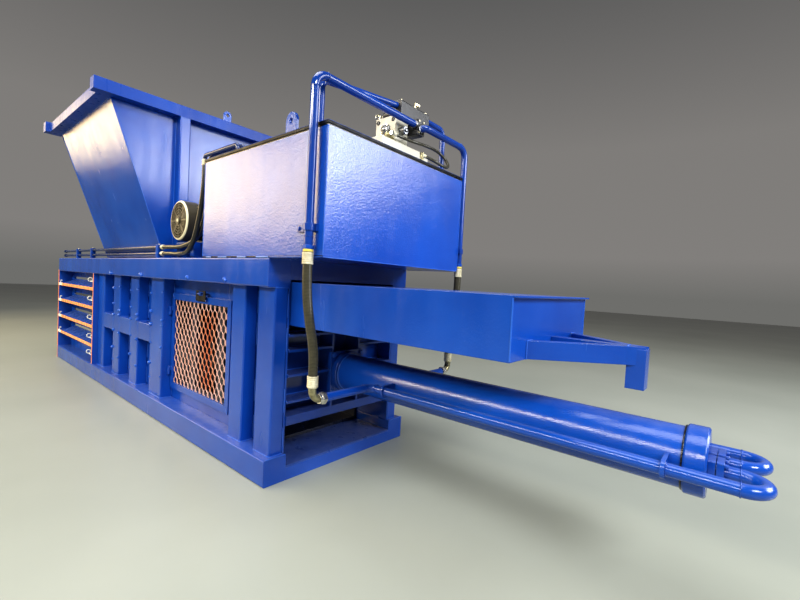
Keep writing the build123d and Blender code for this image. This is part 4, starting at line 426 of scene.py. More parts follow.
# Wire guides: bent rod rings at the rear edge plate and short hooked pins on the front of each
# shelf, rod of 10 mm painted white, which lead the baling wire. The shelves themselves are held by
# seams along the walls and edge plates.
guide_white = enamel(
    "guide_white", (0.78, 0.77, 0.72), (0.62, 0.61, 0.56), 0.4, 0.0004, 0.0)
finish_nodes(guide_white, "wire_guide_rings")
rod_tree, rod = start_tree("bent_rod", {"Rod Radius": 0.005, "Bend Radius": 0.015, "Sides": 12})
rod_line = add(rod_tree, "GeometryNodeMeshToCurve", {0: rod["Geometry"]})
rod_line = add(rod_tree, "GeometryNodeFilletCurve", {
    0: rod_line, "Radius": rod["Bend Radius"], "Limit Radius": True, "Count": 6}, mode="POLY")
rod_round = add(rod_tree, "GeometryNodeCurvePrimitiveCircle", {
    "Resolution": rod["Sides"], "Radius": rod["Rod Radius"]})
finish_tree(rod_tree, rod, add(rod_tree, "GeometryNodeCurveToMesh", {
    "Curve": rod_line, "Profile Curve": rod_round, "Fill Caps": True}))


def rods(name, paths_mm, radius_mm, bend_mm, finish):
    """Round rods bent along these paths."""
    grow(name, paths_mesh(name, paths_mm), rod_tree,
         {"Rod Radius": radius_mm * MM, "Bend Radius": bend_mm * MM}, finish)


rods("wire_pins", both_sides([[(-2418, lip_y, top - 2), (-2418, lip_y, top + 30), (-2350, lip_y, top + 30)]
                              for top in shelf_tops]), 5, 14, guide_white)
shelf_seams = []
for top in shelf_tops:
    shelf_seams.append([(-2444, wall_y - 1, top + 1), (-930, wall_y - 1, top + 1)])
    for x, z in ((-927, top - 12), (-2449, top + 2)):
        shelf_seams.append([(x, wall_y - 7, z), (x, lip_y, z)])
weld("shelf_welds", both_sides(shelf_seams), 3.2)

# Feed hopper: 6 mm plate, flared to the sides, under a heavy rim that keeps its mouth straight.
# Square tubes stiffen the two upright ends; all is seam-welded. The rim's blue is dull and painted darker
# than the shell's, as painted shade.
rim_shade_enamel = enamel("rim_shade_enamel", (0.006, 0.058, 0.34), (0.005, 0.040, 0.25), 0.3, 0.0006, 0.8, specular=0.25)
finish_nodes(rim_shade_enamel, "hopper_rim")
finish_nodes(blue_enamel, "hopper_shell", "hopper_ribs", "lifting_eyes")
rail_top = 1301
hopper_seams = both_sides(
    [[(x, -504, rail_top + 3), (x, -911, 2478)] for x in (-796, 706)]
    + [[(-790, -506, rail_top), (700, -506, rail_top)], [(-780, -913, 2481), (690, -913, 2481)]])
hopper_seams.extend([[(x, -500, rail_top), (x, 500, rail_top)] for x in (-796, 706)])
hopper_seams.extend([[(x, y, 1310), (x, y, 2470)] for x in (-795, 705)
                     for y in (-444.5, -357.5, 357.5, 444.5)])
weld("hopper_welds", hopper_seams, 3.6)
weld("lug_welds", both_sides([[(2531, -587, 1958), (2623, -587, 1958)]])
     + [[(x, -60, 2573), (x, 10, 2573)] for x in (735.5, 753.5, -843.5, -825.5)], 4.0)

# Oil tank: a welded box of 6 mm plate on the top rails, in the glossiest blue of the machine. Hex
# screws, painted over, hold its lid on a rubber gasket; the lid's edge and the seam under it are
# black. A near-black band along its foot is painted shadow, and the short stitch welds there are a
# pale blue that is painted highlight.
lid_line_black = (0.004, 0.005, 0.008)
# The first trim is a near-black band at the foot of the sides: painted shadow in the gap above the rails.
tank_enamel = enamel("tank_enamel", (0.006, 0.074, 0.42), (0.005, 0.054, 0.33), 0.15, 0.0015, 0.6, (
    ((0.003, 0.005, 0.018), {"y": (0.6035, 0.61), "z": (1.29, 1.308)}),
    (lid_line_black, {"z": (1.9335, 1.9375)})), specular=0.75)
finish_nodes(tank_enamel, "tank_body")
lid_enamel = enamel("lid_enamel", royal_blue, deep_blue, 0.3, 0.0008, 0.3, (
    (lid_line_black, {"z": (1.940, 1.9558)}),), specular=0.12)
finish_nodes(lid_enamel, "tank_lid")
gasket_rubber = rubber(
    "gasket_rubber", (0.008, 0.008, 0.008), (0.020, 0.020, 0.020), 20.0)
finish_nodes(gasket_rubber, "tank_gasket")
weld("tank_welds", both_sides(
    [[(x, -603, rail_top + 7), (x, -603, 1930)] for x in (1619, 2882)]
    + [[(2430, -604, rail_top), (2878, -604, rail_top)]])
     + [[(x, -y, rail_top), (x, y, rail_top)] for x, y in ((2881, 600), (1620, 450))], 3.0)
# The stitches' pale blue is painted highlight.
stitch_highlight_paint = enamel("stitch_highlight_paint", (0.16, 0.27, 0.62), (0.06, 0.16, 0.52), 0.14, 0.0008, 0.9)
weld("tank_stitches", both_sides([
    [(start_x, -604, rail_top + 1), (end_x, -604, rail_top + 1)]
    for start_x, end_x in ((1680, 1742), (1842, 1947), (2081, 2182), (2294, 2415))]), 5.0, stitch_highlight_paint)
ALONG_X, ALONG_Y, UP = (1, 0, 0), (0, 1, 0), (0, 0, 1)


def circle(radius, height, sides):
    """Points round the Z axis, at a height."""
    return [Vector((radius * math.cos(i * math.tau / sides), radius * math.sin(i * math.tau / sides), height))
            for i in range(sides)]


def skin(mesh, rings, index=0, smooth=False):
    """Adds the solid between a stack of rings of points, with flat ends."""
    rings = [[mesh.verts.new(point) for point in ring] for ring in rings]
    sides = len(rings[0])
    for lower, upper in zip(rings, rings[1:]):
        for i in range(sides):
            face = mesh.faces.new((lower[i], lower[(i + 1) % sides], upper[(i + 1) % sides], upper[i]))
            face.material_index = index
            face.smooth = smooth
    for end in (rings[0][::-1], rings[-1]):
        mesh.faces.new(end).material_index = index


def hex_head(across, height, washer):
    """A chamfered hexagon head on a washer, standing on its origin along Z, in metres."""
    mesh = bmesh.new()
    thickness = 0.16 * height
    disc = bmesh.ops.create_cone(mesh, cap_ends=True, segments=20, radius1=washer, radius2=washer * 0.97,
                                 depth=thickness)["verts"]
    bmesh.ops.translate(mesh, vec=(0, 0, thickness / 2), verts=disc)
    skin(mesh, [circle(across * share, thickness + level * 0.84 * height, 6)
                for share, level in ((1.0, 0.0), (1.0, 0.82), (0.88, 1.0), (0.45, 1.02))])
    return mesh


def socket_head(radius, height, key):
    """A cap screw with a hexagon socket, standing on its origin along Z, in metres."""
    mesh = bmesh.new()
    sides, flat = 18, math.tau / 6
    rings = [circle(radius * share, level * height, sides)
             for share, level in ((1.0, 0.0), (1.0, 0.88), (0.9, 1.0))]
    for level in (1.0, 0.45):
        ring = []
        for i in range(sides):
            angle = i * math.tau / sides
            reach = key / math.cos(angle % flat - flat / 2) * math.cos(flat / 2)
            ring.append((reach * math.cos(angle), reach * math.sin(angle), level * height))
        rings.append(ring)
    skin(mesh, rings)
    return mesh


screw_tree, screw = start_tree("screws", {"Head": None, "Turn Seed": 5})
screw_aim = add(screw_tree, "GeometryNodeInputNamedAttribute", {"Name": "aim"}, data_type="FLOAT_VECTOR")
screw_set = add(screw_tree, "GeometryNodeInstanceOnPoints", {
    "Points": screw["Geometry"],
    "Instance": add(screw_tree, "GeometryNodeObjectInfo", {"Object": screw["Head"]}, "Geometry"),
    "Rotation": add(screw_tree, "FunctionNodeAlignRotationToVector", {"Vector": screw_aim}, axis="Z")})
screw_spin = add(screw_tree, "FunctionNodeRandomValue", {
    0: (0.0, 0.0, 0.0), 1: (0.0, 0.0, FULL_TURN), "Seed": screw["Turn Seed"]}, data_type="FLOAT_VECTOR")
finish_tree(screw_tree, screw, add(screw_tree, "GeometryNodeRotateInstances", {
    "Instances": screw_set, "Rotation": screw_spin, "Local Space": True}), smooth=False)


def screws(name, head, places, finish, body="press_frame"):
    """Sets one kind of screw head at each (point in mm, direction)."""
    head_piece = put(name + "_head", bpy.data.meshes.new(name + "_head"))
    bmesh.ops.recalc_face_normals(head, faces=head.faces)
    head.to_mesh(head_piece.data)
    head.free()
    seeds = paths_mesh(name, [[point] for point, aim in places])
    aims = seeds.attributes.new("aim", "FLOAT_VECTOR", "POINT")
    aims.data.foreach_set("vector", [c for point, aim in places for c in aim])
    grow(name, seeds, screw_tree, {"Head": head_piece}, finish, body)
    bpy.data.objects.remove(head_piece)


lid_top, edge_y = 1957, 584
lid_screws = []
for x in (1641 + i * 203.3 for i in range(7)):
    if abs(x - 2577) > 60 and abs(x - 2740) > 45 and abs(x - 2030) > 40:
        lid_screws.extend([((x, y, lid_top), UP) for y in (-edge_y, edge_y)])
for y in (i * 194.7 - edge_y for i in range(1, 6)):
    lid_screws.extend([((x, y, lid_top), UP) for x in (1641, 2861)])
screws("tank_lid_screws", hex_head(0.0098, 0.0085, 0.0125), lid_screws, blue_enamel)

# Motor: a cast aluminium body with cooling ribs and a pressed fan cowl, in dark olive enamel. The
# cowl's rolled edge and its hub are coloured pale cream.
motor_x, motor_z = 1138, 1584
motor_olive = enamel(
    "motor_olive", (0.040, 0.040, 0.031), (0.024, 0.025, 0.019), 0.36, 0.0006, 0.15)
finish_nodes(motor_olive, "motor_body")
cowl_olive = enamel(
    "cowl_paint", (0.052, 0.043, 0.024), (0.030, 0.025, 0.015), 0.45, 0.0004, 0.0)
cowl_tree = cowl_olive.node_tree
cowl_place = add(cowl_tree, "ShaderNodeTexCoord", {}, "Object")
off_axis = add(cowl_tree, "ShaderNodeVectorMath", {0: cowl_place, 1: (motor_x * MM, 0.0, motor_z * MM)},
               operation="SUBTRACT")
off_axis = add(cowl_tree, "ShaderNodeVectorMath", {0: off_axis, 1: (1.0, 0.0, 1.0)}, operation="MULTIPLY")
off_axis = add(cowl_tree, "ShaderNodeVectorMath", {0: off_axis}, "Value", operation="LENGTH")
in_front = calc(cowl_tree, "LESS_THAN", add(cowl_tree, "ShaderNodeSeparateXYZ", {0: cowl_place}, "Y"), -0.560)
pale = calc(cowl_tree, "MULTIPLY", calc(cowl_tree, "COMPARE", off_axis, 0.143, 0.0065), in_front)
pale = calc(cowl_tree, "MAXIMUM", pale, calc(cowl_tree, "LESS_THAN", off_axis, 0.012))
cowl_shader = cowl_tree.nodes["Principled BSDF"]
painted = cowl_shader.inputs["Base Color"].links[0].from_socket
wire(cowl_tree, cowl_shader, {"Base Color": mix(cowl_tree, pale, painted, (0.66, 0.62, 0.44))})
finish_nodes(cowl_olive, "motor_fan_cowl")
finish_nodes(blue_enamel, "motor_stand")
weld("stand_welds", [[(x, y - 31, rail_top), (x, y + 31, rail_top)] for x in (987, 1049, 1227, 1289)
                     for y in (-490, 490)], 3.2)


def metal(name, light, dark, roughness, grain_scale, metallic=1.0):
    """Bare or plated steel with a grain of fine scratches and slight stains."""
    material, tree, shader, place = new_material(name)
    grain = noise(tree, place, grain_scale, 6.0)
    stain = noise(tree, place, 14.0, 4.0)
    wire(tree, shader, {
        "Base Color": ramp(tree, calc(tree, "MULTIPLY", grain, stain), (0.16, dark), (0.34, light)),
        "Roughness": spread(tree, stain, 0.0, 1.0, 0.7 * roughness, 1.5 * roughness),
        "Normal": bump(tree, grain, 0.25, 0.0003), "Metallic": metallic})
    return material


def round_bolts(centre, radius, first, count, aim=None):
    """Bolt places on a circle across Y; they point out of the circle unless an aim is given."""
    places = []
    for i in range(count):
        angle = math.radians(first + 360 / count * i)
        out = (math.cos(angle), 0, math.sin(angle))
        places.append((tuple(c + radius * o for c, o in zip(centre, out)), aim or out))
    return places


bare_steel = metal("bare_steel", (0.46, 0.46, 0.46), (0.26, 0.26, 0.27), 0.32, 130.0)
zinc_steel = metal("zinc_steel", (0.66, 0.62, 0.48), (0.46, 0.42, 0.30), 0.28, 90.0)
finish_nodes(bare_steel, "motor_rotor")
screws("motor_foot_screws", hex_head(0.012, 0.0095, 0.0155),
       [((motor_x + x, y, 1437), UP) for x in (-111, 111) for y in (-372, -152)], zinc_steel)
screws("motor_flange_screws", hex_head(0.0078, 0.007, 0.010),
       round_bolts((motor_x, -80, motor_z), 135, 22.5, 8, (0, -1, 0))
       + round_bolts((motor_x, -44, motor_z), 135, 22.5, 8, ALONG_Y), zinc_steel)
screws("motor_cover_screws", socket_head(0.0055, 0.005, 0.0026),
       [((946, y, z), (-1, 0, 0)) for y in (-329, -215) for z in (1578, 1670)]
       + round_bolts((motor_x, -482, motor_z), 150, 45, 4), zinc_steel)

# Pump and its bellhousing: rough cast iron under thin black enamel. The bellhousing is bolted to
# the motor flange and carries the pump.
cast_black = enamel(
    "cast_black", (0.024, 0.024, 0.025), (0.012, 0.012, 0.013), 0.42, 0.0010, 0.3)
finish_nodes(cast_black, "pump_bellhousing", "hydraulic_pump")

# Valve stand: an ivory-painted pedestal and drilled block carry the spool valve, whose two coils
# and plugs are black; ports are closed with dark plugs and one bright flanged cover.
ivory_paint = enamel(
    "ivory_paint", (0.66, 0.63, 0.52), (0.50, 0.48, 0.39), 0.4, 0.0007, 0.2)
finish_nodes(ivory_paint, "valve_pedestal", "valve_block")
valve_black = enamel(
    "valve_black", (0.020, 0.021, 0.024), (0.010, 0.010, 0.012), 0.3, 0.0004, 0.4)
finish_nodes(valve_black, "spool_valve_body", "valve_solenoids", "port_block")
port_steel = metal("port_steel", (0.30, 0.31, 0.33), (0.16, 0.17, 0.18), 0.3, 80.0)


def turned(mesh, profile, origin_mm, aim, sides, index=0):
    """Adds a solid of revolution; the profile is (radius, height) in mm from the origin along aim."""
    turn = Vector(aim).to_track_quat("Z", "Y").to_matrix()
    skin(mesh, [[(turn @ point + Vector(origin_mm)) * MM for point in circle(radius, height, sides)]
                for radius, height in profile], index, smooth=sides > 8)


def keep_mesh(name, mesh, materials, replaced=()):
    """Turns a bmesh into a finished piece on the frame, with outward normals."""
    bmesh.ops.recalc_face_normals(mesh, faces=mesh.faces)
    data = bpy.data.meshes.new(name)
    mesh.to_mesh(data)
    mesh.free()
    for material in materials:
        data.materials.append(material)
    data.set_sharp_from_angle(angle=math.radians(35))
    piece = put(name, data)
    if replaced:
        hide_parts(*replaced)
    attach(piece, "press_frame")


ports = bmesh.new()
for x, z, radius in ((2613, 2196, 14), (2738, 2197, 13), (2735, 2096, 13), (2652, 2078, 12)):
    turned(ports, ((radius, 0), (radius, 3), (radius * 0.8, 5), (radius * 0.62, 5), (radius * 0.62, 1.5)),
           (x, 16, z), (0, -1, 0), 24, 1)
turned(ports, ((38, 0), (38, 6), (35, 9), (30, 9), (28, 15), (15, 19), (13, 26), (9, 28)),
       (2676, 16, 2142), (0, -1, 0), 40)
flange_ring = ((26, 0), (28, 2), (28, 9), (23, 11))
turned(ports, flange_ring, (2812, 136, 2188), (0, -1, 0), 32)
turned(ports, flange_ring, (2837, 168, 2163), ALONG_X, 32)
coil = [(20, 0), (24, 2)]
for rib in range(4, 39, 7):
    coil.extend([(24, rib), (24, rib + 4), (21.5, rib + 5), (21.5, rib + 6)])
turned(ports, coil + [(24, 39), (22, 42), (12, 42), (12, 50), (9, 52)], (2760, 66, 2132), ALONG_X, 32)
keep_mesh("valve_ports", ports, (port_steel, valve_black))
caps = bmesh.new()
for y in (98.5, 257.5):
    turned(caps, ((13, 0), (13, 4), (10, 8), (10, 16), (7, 18)), (2586, y, 2269), (-1, 0, 0), 24)
for y in (40, 112):
    turned(caps, ((11, 0), (11, 6), (7, 9), (7, 22), (10, 24), (10, 32), (6, 35)), (2600, y, 2220), UP, 20)
turned(caps, ((14, 0), (14, 10), (9, 14), (9, 34), (12, 36), (12, 44), (8, 46)), (2740, 225, 2318), UP, 24)
turned(caps, ((8, 0), (10, 2), (10, 10), (7, 12), (7, 44), (10, 46), (10, 54), (8, 56)),
       (2712, 225, 2344), ALONG_X, 24)
keep_mesh("valve_caps", caps, (zinc_steel,))
screws("valve_screws", socket_head(0.006, 0.006, 0.003),
       [((x, y, 2318), UP) for x in (2718, 2762) for y in (52, 304)]
       + [((2837, y, z), ALONG_X) for y in (146, 190) for z in (2137, 2208)]
       + round_bolts((2676, 7, 2142), 32, 45, 4, (0, -1, 0)), zinc_steel)
rods("lifting_ring", [[(2604, y, z) for y, z in (
    (-2, 2222), (-2, 2238), (30, 2258), (62, 2238), (62, 2222))]], 3.5, 16, zinc_steel)
weld("pedestal_welds", [[(x, y, 1958) for x, y in (
    (2560, -120), (2780, -120), (2780, 330), (2560, 330), (2560, -120))]], 3.0, ivory_paint)

# Oil pipes on the tank: cold-drawn steel tube bent on a former, welded at each bend and painted in
# a darker blue than the tank; flat clamps bolt the risers to its sides.
riser_enamel = enamel("riser_enamel", (0.006, 0.050, 0.29), (0.005, 0.034, 0.20), 0.13, 0.0003, 0.4)
finish_nodes(riser_enamel, "pressure_pipe_near", "pressure_pipe_far", "tank_pipes",
             "riser_clamps")


def ring_path(centre, aim, radius, steps=24):
    """A closed circle of points, in mm, round a pipe."""
    turn = Vector(aim).to_track_quat("Z", "Y").to_matrix()
    points = [tuple(turn @ point + Vector(centre)) for point in circle(radius, 0, steps)]
    return points + points[:1]


riser_y = 638
riser_seams = [ring_path((2740, y, 1970), UP, 19.6) for y in (-544, 544)]
for side, x, bend_z in ((-1, 2812, 2118), (1, 2872, 2093)):
    riser_seams.extend([ring_path((x, side * riser_y, z), UP, 21.6) for z in (bend_z, 1398)])
    riser_seams.append(ring_path((x, side * 568, bend_z + 70), ALONG_Y, 21.6))
weld("riser_welds", riser_seams, 2.4, riser_enamel)
screws("clamp_screws", hex_head(0.0098, 0.008, 0.0125),
       [((x, side * 617, 1443), (0, side, 0)) for side, x in ((-1, 2706), (-1, 2748), (1, 2766), (1, 2808))],
       blue_enamel)

# Hose fittings: swaged steel ferrules in pale yellow zinc, forged elbows and hexagon union nuts.
# The upper nuts were painted with the risers, over a yellow marking band.
ferrule_zinc = metal("ferrule_zinc", (0.72, 0.68, 0.50), (0.54, 0.49, 0.33), 0.34, 60.0, 0.35)
band_yellow = enamel("band_yellow", (0.70, 0.58, 0.10), (0.58, 0.47, 0.08), 0.35, 0.0003, 0.0)
elbow_zinc = metal("elbow_zinc", (0.36, 0.33, 0.20), (0.17, 0.15, 0.09), 0.26, 60.0, 0.8)
pipe_enamel = enamel("pipe_enamel", royal_blue, deep_blue, 0.13, 0.0003, 0.5)
nut_zinc = metal("nut_zinc", (0.74, 0.73, 0.68), (0.50, 0.49, 0.45), 0.2, 70.0, 0.9)
FERRULE, BAND, ELBOW, PAINTED, RUBBER, NUT = range(6)


def crimped(outer, length, grooves):
    """The profile of a ferrule with rolled grooves and turned ends, mouth first."""
    profile = [(outer - 3, 0), (outer - 0.6, 1), (outer, 4)]
    pitch = (length - 16) / grooves
    for i in range(grooves):
        base = 6 + i * pitch
        profile.extend([(outer, base), (outer - 1.6, base + 0.25 * pitch), (outer - 1.6, base + 0.6 * pitch),
                        (outer, base + 0.85 * pitch)])
    profile.extend([(outer, length - 6), (outer - 2.5, length - 3), (outer - 4, length)])
    return profile


def hex_nut(radius, height):
    """The profile of a union nut with both ends chamfered."""
    return [(radius * share, height * level)
            for share, level in ((0.84, 0), (1.0, 0.16), (1.0, 0.84), (0.84, 1.0))]


def elbow(mesh, points, radius, sides, index):
    """Adds a round tube, bent across X, through points in mm."""
    rings = []
    across = Vector(ALONG_X)
    for i, point in enumerate(points):
        ahead = Vector(points[min(i + 1, len(points) - 1)]) - Vector(points[max(i - 1, 0)])
        side = ahead.cross(across).normalized()
        rings.append([(Vector(point) + radius * (math.cos(angle) * across + math.sin(angle) * side)) * MM
                      for angle in [j * math.tau / sides for j in range(sides)]])
    skin(mesh, rings, index, smooth=True)


port_x, axis_z = 2850, 592
fittings = bmesh.new()
for x, side in ((2812, -1), (2872, 1)):
    for profile, z, sides, index in (
            (crimped(28.5, 60, 5), 1262, 32, FERRULE), (((25, 0), (25, 12)), 1323, 32, BAND),
            (((26.5, 0), (26.5, 3)), 1320.5, 32, RUBBER), (hex_nut(28, 22), 1335, 6, PAINTED)):
        turned(fittings, profile, (x, side * riser_y, z), UP, sides, index)
    turned(fittings, crimped(28.5, 60, 5), (port_x, side * 604, 715), (0, 0, -1), 32, FERRULE)
    bend = [(604, 655), (604, 644)]
    bend.extend([(552 + 52 * math.cos(math.radians(9 * i)), 644 - 52 * math.sin(math.radians(9 * i)))
                 for i in range(1, 10)])
    elbow(fittings, [(port_x, side * y, z) for y, z in bend + [(546, axis_z)]], 20.0, 24, ELBOW)
    inward = (0, -side, 0)
    turned(fittings, hex_nut(32, 32), (port_x, side * 552, axis_z), inward, 6, NUT)
    collar = ((24, 0), (25.5, 2), (25.5, 10), (24, 12))
    turned(fittings, collar, (port_x, side * 564, axis_z), inward, 28, NUT)
for profile, origin, aim, sides, index in (
        (crimped(12.5, 34, 3), (2790, -10, 2084), (0, -1, 0), 24, FERRULE),
        (((13.5, 0), (14.5, 1.5), (14.5, 12), (12, 14)), (2790, -41, 2084), (0, -1, 0), 6, NUT),
        (((12, 0), (12, 24)), (2778, -43, 2072), UP, 24, ELBOW),
        (((10, 0), (10, 26)), (2786, -43, 2084), (-1, 0, 0), 20, ELBOW),
        (((12, 0), (12, 58)), (2740, -43, 2084), ALONG_Y, 20, ELBOW),
        (((12, 0), (12, 30)), (2738, -43, 2084), ALONG_X, 20, ELBOW),
        (crimped(12.5, 34, 3), (2856, 200, 2000), (0, -1, 0), 24, FERRULE),
        (((14.5, 0), (14.5, 20), (12, 22), (12, 52), (14, 54), (14, 57)), (2856, 166, lid_top), UP, 24,
         ELBOW)):
    turned(fittings, profile, origin, aim, sides, index)
for y, tube_z in ((-560, 1388), (-597, 1336)):
    turned(fittings, crimped(19, 40, 3), (1592, y, 1925), UP, 28, FERRULE)
    turned(fittings, crimped(19, 40, 3), (860, -565, tube_z), (-1, 0, 0), 28, FERRULE)
keep_mesh("fitting_set", fittings,
          (ferrule_zinc, band_yellow, elbow_zinc, pipe_enamel, hose_rubber, nut_zinc), ("hose_fittings",))

# Service line tubes along the top rail: drawn steel painted blue-black. Split clamp blocks, each
# with one zinc screw, hold the pair to the rail.
line_enamel = enamel("line_enamel", (0.008, 0.030, 0.13), (0.005, 0.016, 0.065), 0.16, 0.0004, 0.2)
finish_nodes(line_enamel, "line_tubes")
finish_nodes(blue_enamel, "line_clamps")
screws("line_clamp_screws", hex_head(0.0075, 0.0065, 0.0098),
       [((x, -565, 1409.5), UP) for x in (760, -1105, -1690)], zinc_steel)

# Main cylinder: a thick honed tube between a flanged head and a screwed cap, with a black ring at
# the cap's joint that stands in for the shade in its groove. A ribbed crosshead carries it; the
# crosshead and the head are painted a darker blue, which is painted shade. Side pipes feed it through
# bolted square flanges, and its chromed rod pushes the ram.
finish_nodes(riser_enamel, "cylinder_mount", "cylinder_head")
finish_nodes(blue_enamel, "cylinder_tube", "cylinder_end_cap", "port_flanges", "pipe_brackets")
finish_nodes(pipe_enamel, "side_pipes")
rod_chrome = metal("rod_chrome", (0.78, 0.78, 0.80), (0.70, 0.70, 0.72), 0.07, 220.0)
finish_nodes(rod_chrome, "piston_rod")
weld("cylinder_welds", [ring_path((2491, 0, axis_z), ALONG_X, 117, 72)], 5.0)
# A black rubber ring at the cap's joint stands in for the shade in the groove there.
rods("cap_seal", [ring_path((4321, 0, axis_z), ALONG_X, 117, 72)], 4.0, 0.0, gasket_rubber)
pipe_y, port_y = 190, 52.5
pipe_seams = []
for side in (-1, 1):
    pipe_seams.extend([ring_path((4487, side * y, axis_z), ALONG_X, 23.4) for y in (pipe_y, port_y)])
    pipe_seams.append(ring_path((port_x, side * 242, axis_z), ALONG_Y, 23.4))
    pipe_seams.extend([ring_path((x, side * pipe_y, axis_z), ALONG_X, radius) for x, radius in (
        (2902, 23.4), (2954, 23.6), (2970, 23.6), (4269, 23.6), (4285, 23.6))])
weld("side_pipe_welds", pipe_seams, 2.6, pipe_enamel)
screws("port_flange_screws", socket_head(0.0085, 0.011, 0.0048),
       [((4442, port + y, axis_z + z), ALONG_X) for port in (-port_y, port_y)
        for y in (-27, 27) for z in (-27, 27)], blue_enamel)
screws("mount_screws", hex_head(0.0145, 0.012, 0.0185),
       [((2450, y, axis_z + z), ALONG_X) for y in (-118, 118) for z in (-118, 118)],
       blue_enamel)
mount_seams = []
for z in (465, 621, 770, 861):
    mount_seams.extend([[(2306, -452, z), (2430, -452, z)], [(2304, -448, z), (2304, -126, z)]])
weld("mount_welds", both_sides(mount_seams), 3.6)

# Ram: a welded box that pushes the waste. Its flanks are painted near-black below its top, as painted
# shade inside the chamber; its steel face is grooved, and a bolted knife on top meets the fixed knife
# at the throat of the hopper.
ram_enamel = enamel("ram_enamel", royal_blue, deep_blue, 0.3, 0.0008, 0.9, (
    ((0.008, 0.012, 0.032), {"z": (0.0, 1.10)}),))
finish_nodes(ram_enamel, "ram_body")
finish_nodes(bare_steel, "fixed_knife", "ram_knife", "ram_face")
screws("ram_knife_screws", socket_head(0.010, 0.0008, 0.0055),
       [((x, first + 130 * i, 1170), UP) for x, first, count in ((735, -390, 7), (775, -325, 6))
        for i in range(count)], bare_steel, "ram")
weld("ram_welds", [[(2098, -430, 1168), (2098, 430, 1168)], [(757, -440, 1150), (757, -440, 1168)]], 3.0,
     body="ram")

# Tail box: an inverted channel on the back of the ram that covers the throat while it is forward,
# with welded arms that carry its roller hanger.
finish_nodes(blue_enamel, "tail_box", "tail_arms")
tail_seams = both_sides([[(3798, -446, 918), (3798, -446, 1160)], [(2104, -447, 1165), (2104, -447, 920)]])
tail_seams.append([(3800, -440, 1161), (3800, 440, 1161)])
for x, y, half in ((3801, -271, 27), (3801, 271, 27), (4108, 0, 26)):
    tail_seams.append([(x, y - half, 914), (x, y - half, 989), (x, y + half, 989), (x, y + half, 914)])
weld("tail_welds", tail_seams, 3.6, body="ram")

# Service door: a flat-bar frame on lift-off hinges closed by a hasp, over expanded metal that was
# slit and drawn from one orange-primed sheet, so each strand leans and widens at its bonds.
finish_nodes(blue_enamel, "door_frame", "door_fixings")
hasp_black = enamel("hasp_black", (0.016, 0.016, 0.018), (0.008, 0.008, 0.009), 0.62, 0.0005, 0.3,
                    specular=0.15)
finish_nodes(hasp_black, "door_hasp")
sheet_middle = 0.63
bond_flat = 1.45
half_widths = 285.0
lattice, strand = start_tree("expanded_metal", {
    "Strand Count": 26, "Strand Pitch": 0.033, "First Strand": (0.920, 0, sheet_middle),
    "Strand Width": 0.007, "Sheet Height": 0.68, "Hole Height": 0.091, "Swing": 0.013, "Lean": 0.0021,
    "Thickness": 0.003, "Sheet Front": -0.4748, "Left Edge": 0.905, "Right Edge": 1.760})
strip = add(lattice, "GeometryNodeMeshGrid", {
    "Size X": strand["Strand Width"], "Size Y": strand["Sheet Height"], "Vertices X": 2, "Vertices Y": 113})
place = add(lattice, "GeometryNodeInputPosition", {})
x, y, z = add(lattice, "ShaderNodeSeparateXYZ", {0: place}).node.outputs
strip = add(lattice, "GeometryNodeStoreNamedAttribute", {"Geometry": strip, "Name": "across", "Value": x},
            data_type="FLOAT")
row = add(lattice, "GeometryNodeMeshLine", {
    "Count": strand["Strand Count"], "Start Location": strand["First Strand"],
    "Offset": add(lattice, "ShaderNodeCombineXYZ", {"X": strand["Strand Pitch"]})})
row = add(lattice, "GeometryNodeStoreNamedAttribute", {
    "Geometry": row, "Name": "strand", "Value": add(lattice, "GeometryNodeInputIndex", {})},
    data_type="FLOAT")
sheet = add(lattice, "GeometryNodeInstanceOnPoints", {
    "Points": row, "Instance": strip, "Rotation": (math.radians(90), 0.0, 0.0)})
sheet = add(lattice, "GeometryNodeRealizeInstances", {0: sheet})
number, across = [add(lattice, "GeometryNodeInputNamedAttribute", {"Name": label}, data_type="FLOAT")
                  for label in ("strand", "across")]
every_other = calc(lattice, "COSINE", calc(lattice, "MULTIPLY", number, math.pi))
phase = calc(lattice, "DIVIDE", calc(lattice, "SUBTRACT", z, sheet_middle), strand["Hole Height"])
wave = calc(lattice, "COSINE", calc(lattice, "MULTIPLY", phase, math.tau))
wave = calc(lattice, "MULTIPLY", wave, bond_flat)
wave = add(lattice, "ShaderNodeClamp", {"Value": wave, "Min": -1.0, "Max": 1.0})
wave = calc(lattice, "MULTIPLY", wave, every_other)
lean = calc(lattice, "MULTIPLY", across, half_widths)
sheet = add(lattice, "GeometryNodeSetPosition", {0: sheet, "Position": add(
    lattice, "ShaderNodeCombineXYZ", {
        "X": add(lattice, "ShaderNodeClamp", {
            "Value": calc(lattice, "MULTIPLY_ADD", wave, strand["Swing"], x),
            "Min": strand["Left Edge"], "Max": strand["Right Edge"]}),
        "Y": calc(lattice, "MULTIPLY_ADD", lean, strand["Lean"], strand["Sheet Front"]),
        "Z": z})})
front = add(lattice, "GeometryNodeExtrudeMesh", {
    "Mesh": sheet, "Offset Scale": strand["Thickness"], "Individual": False}, mode="FACES")
both = add(lattice, "GeometryNodeJoinGeometry", {0: front})
wire(lattice, both.node, {0: add(lattice, "GeometryNodeFlipFaces", {0: sheet})})
both = add(lattice, "GeometryNodeMergeByDistance", {0: both, "Distance": 0.00005})
finish_tree(lattice, strand, both, smooth=False)
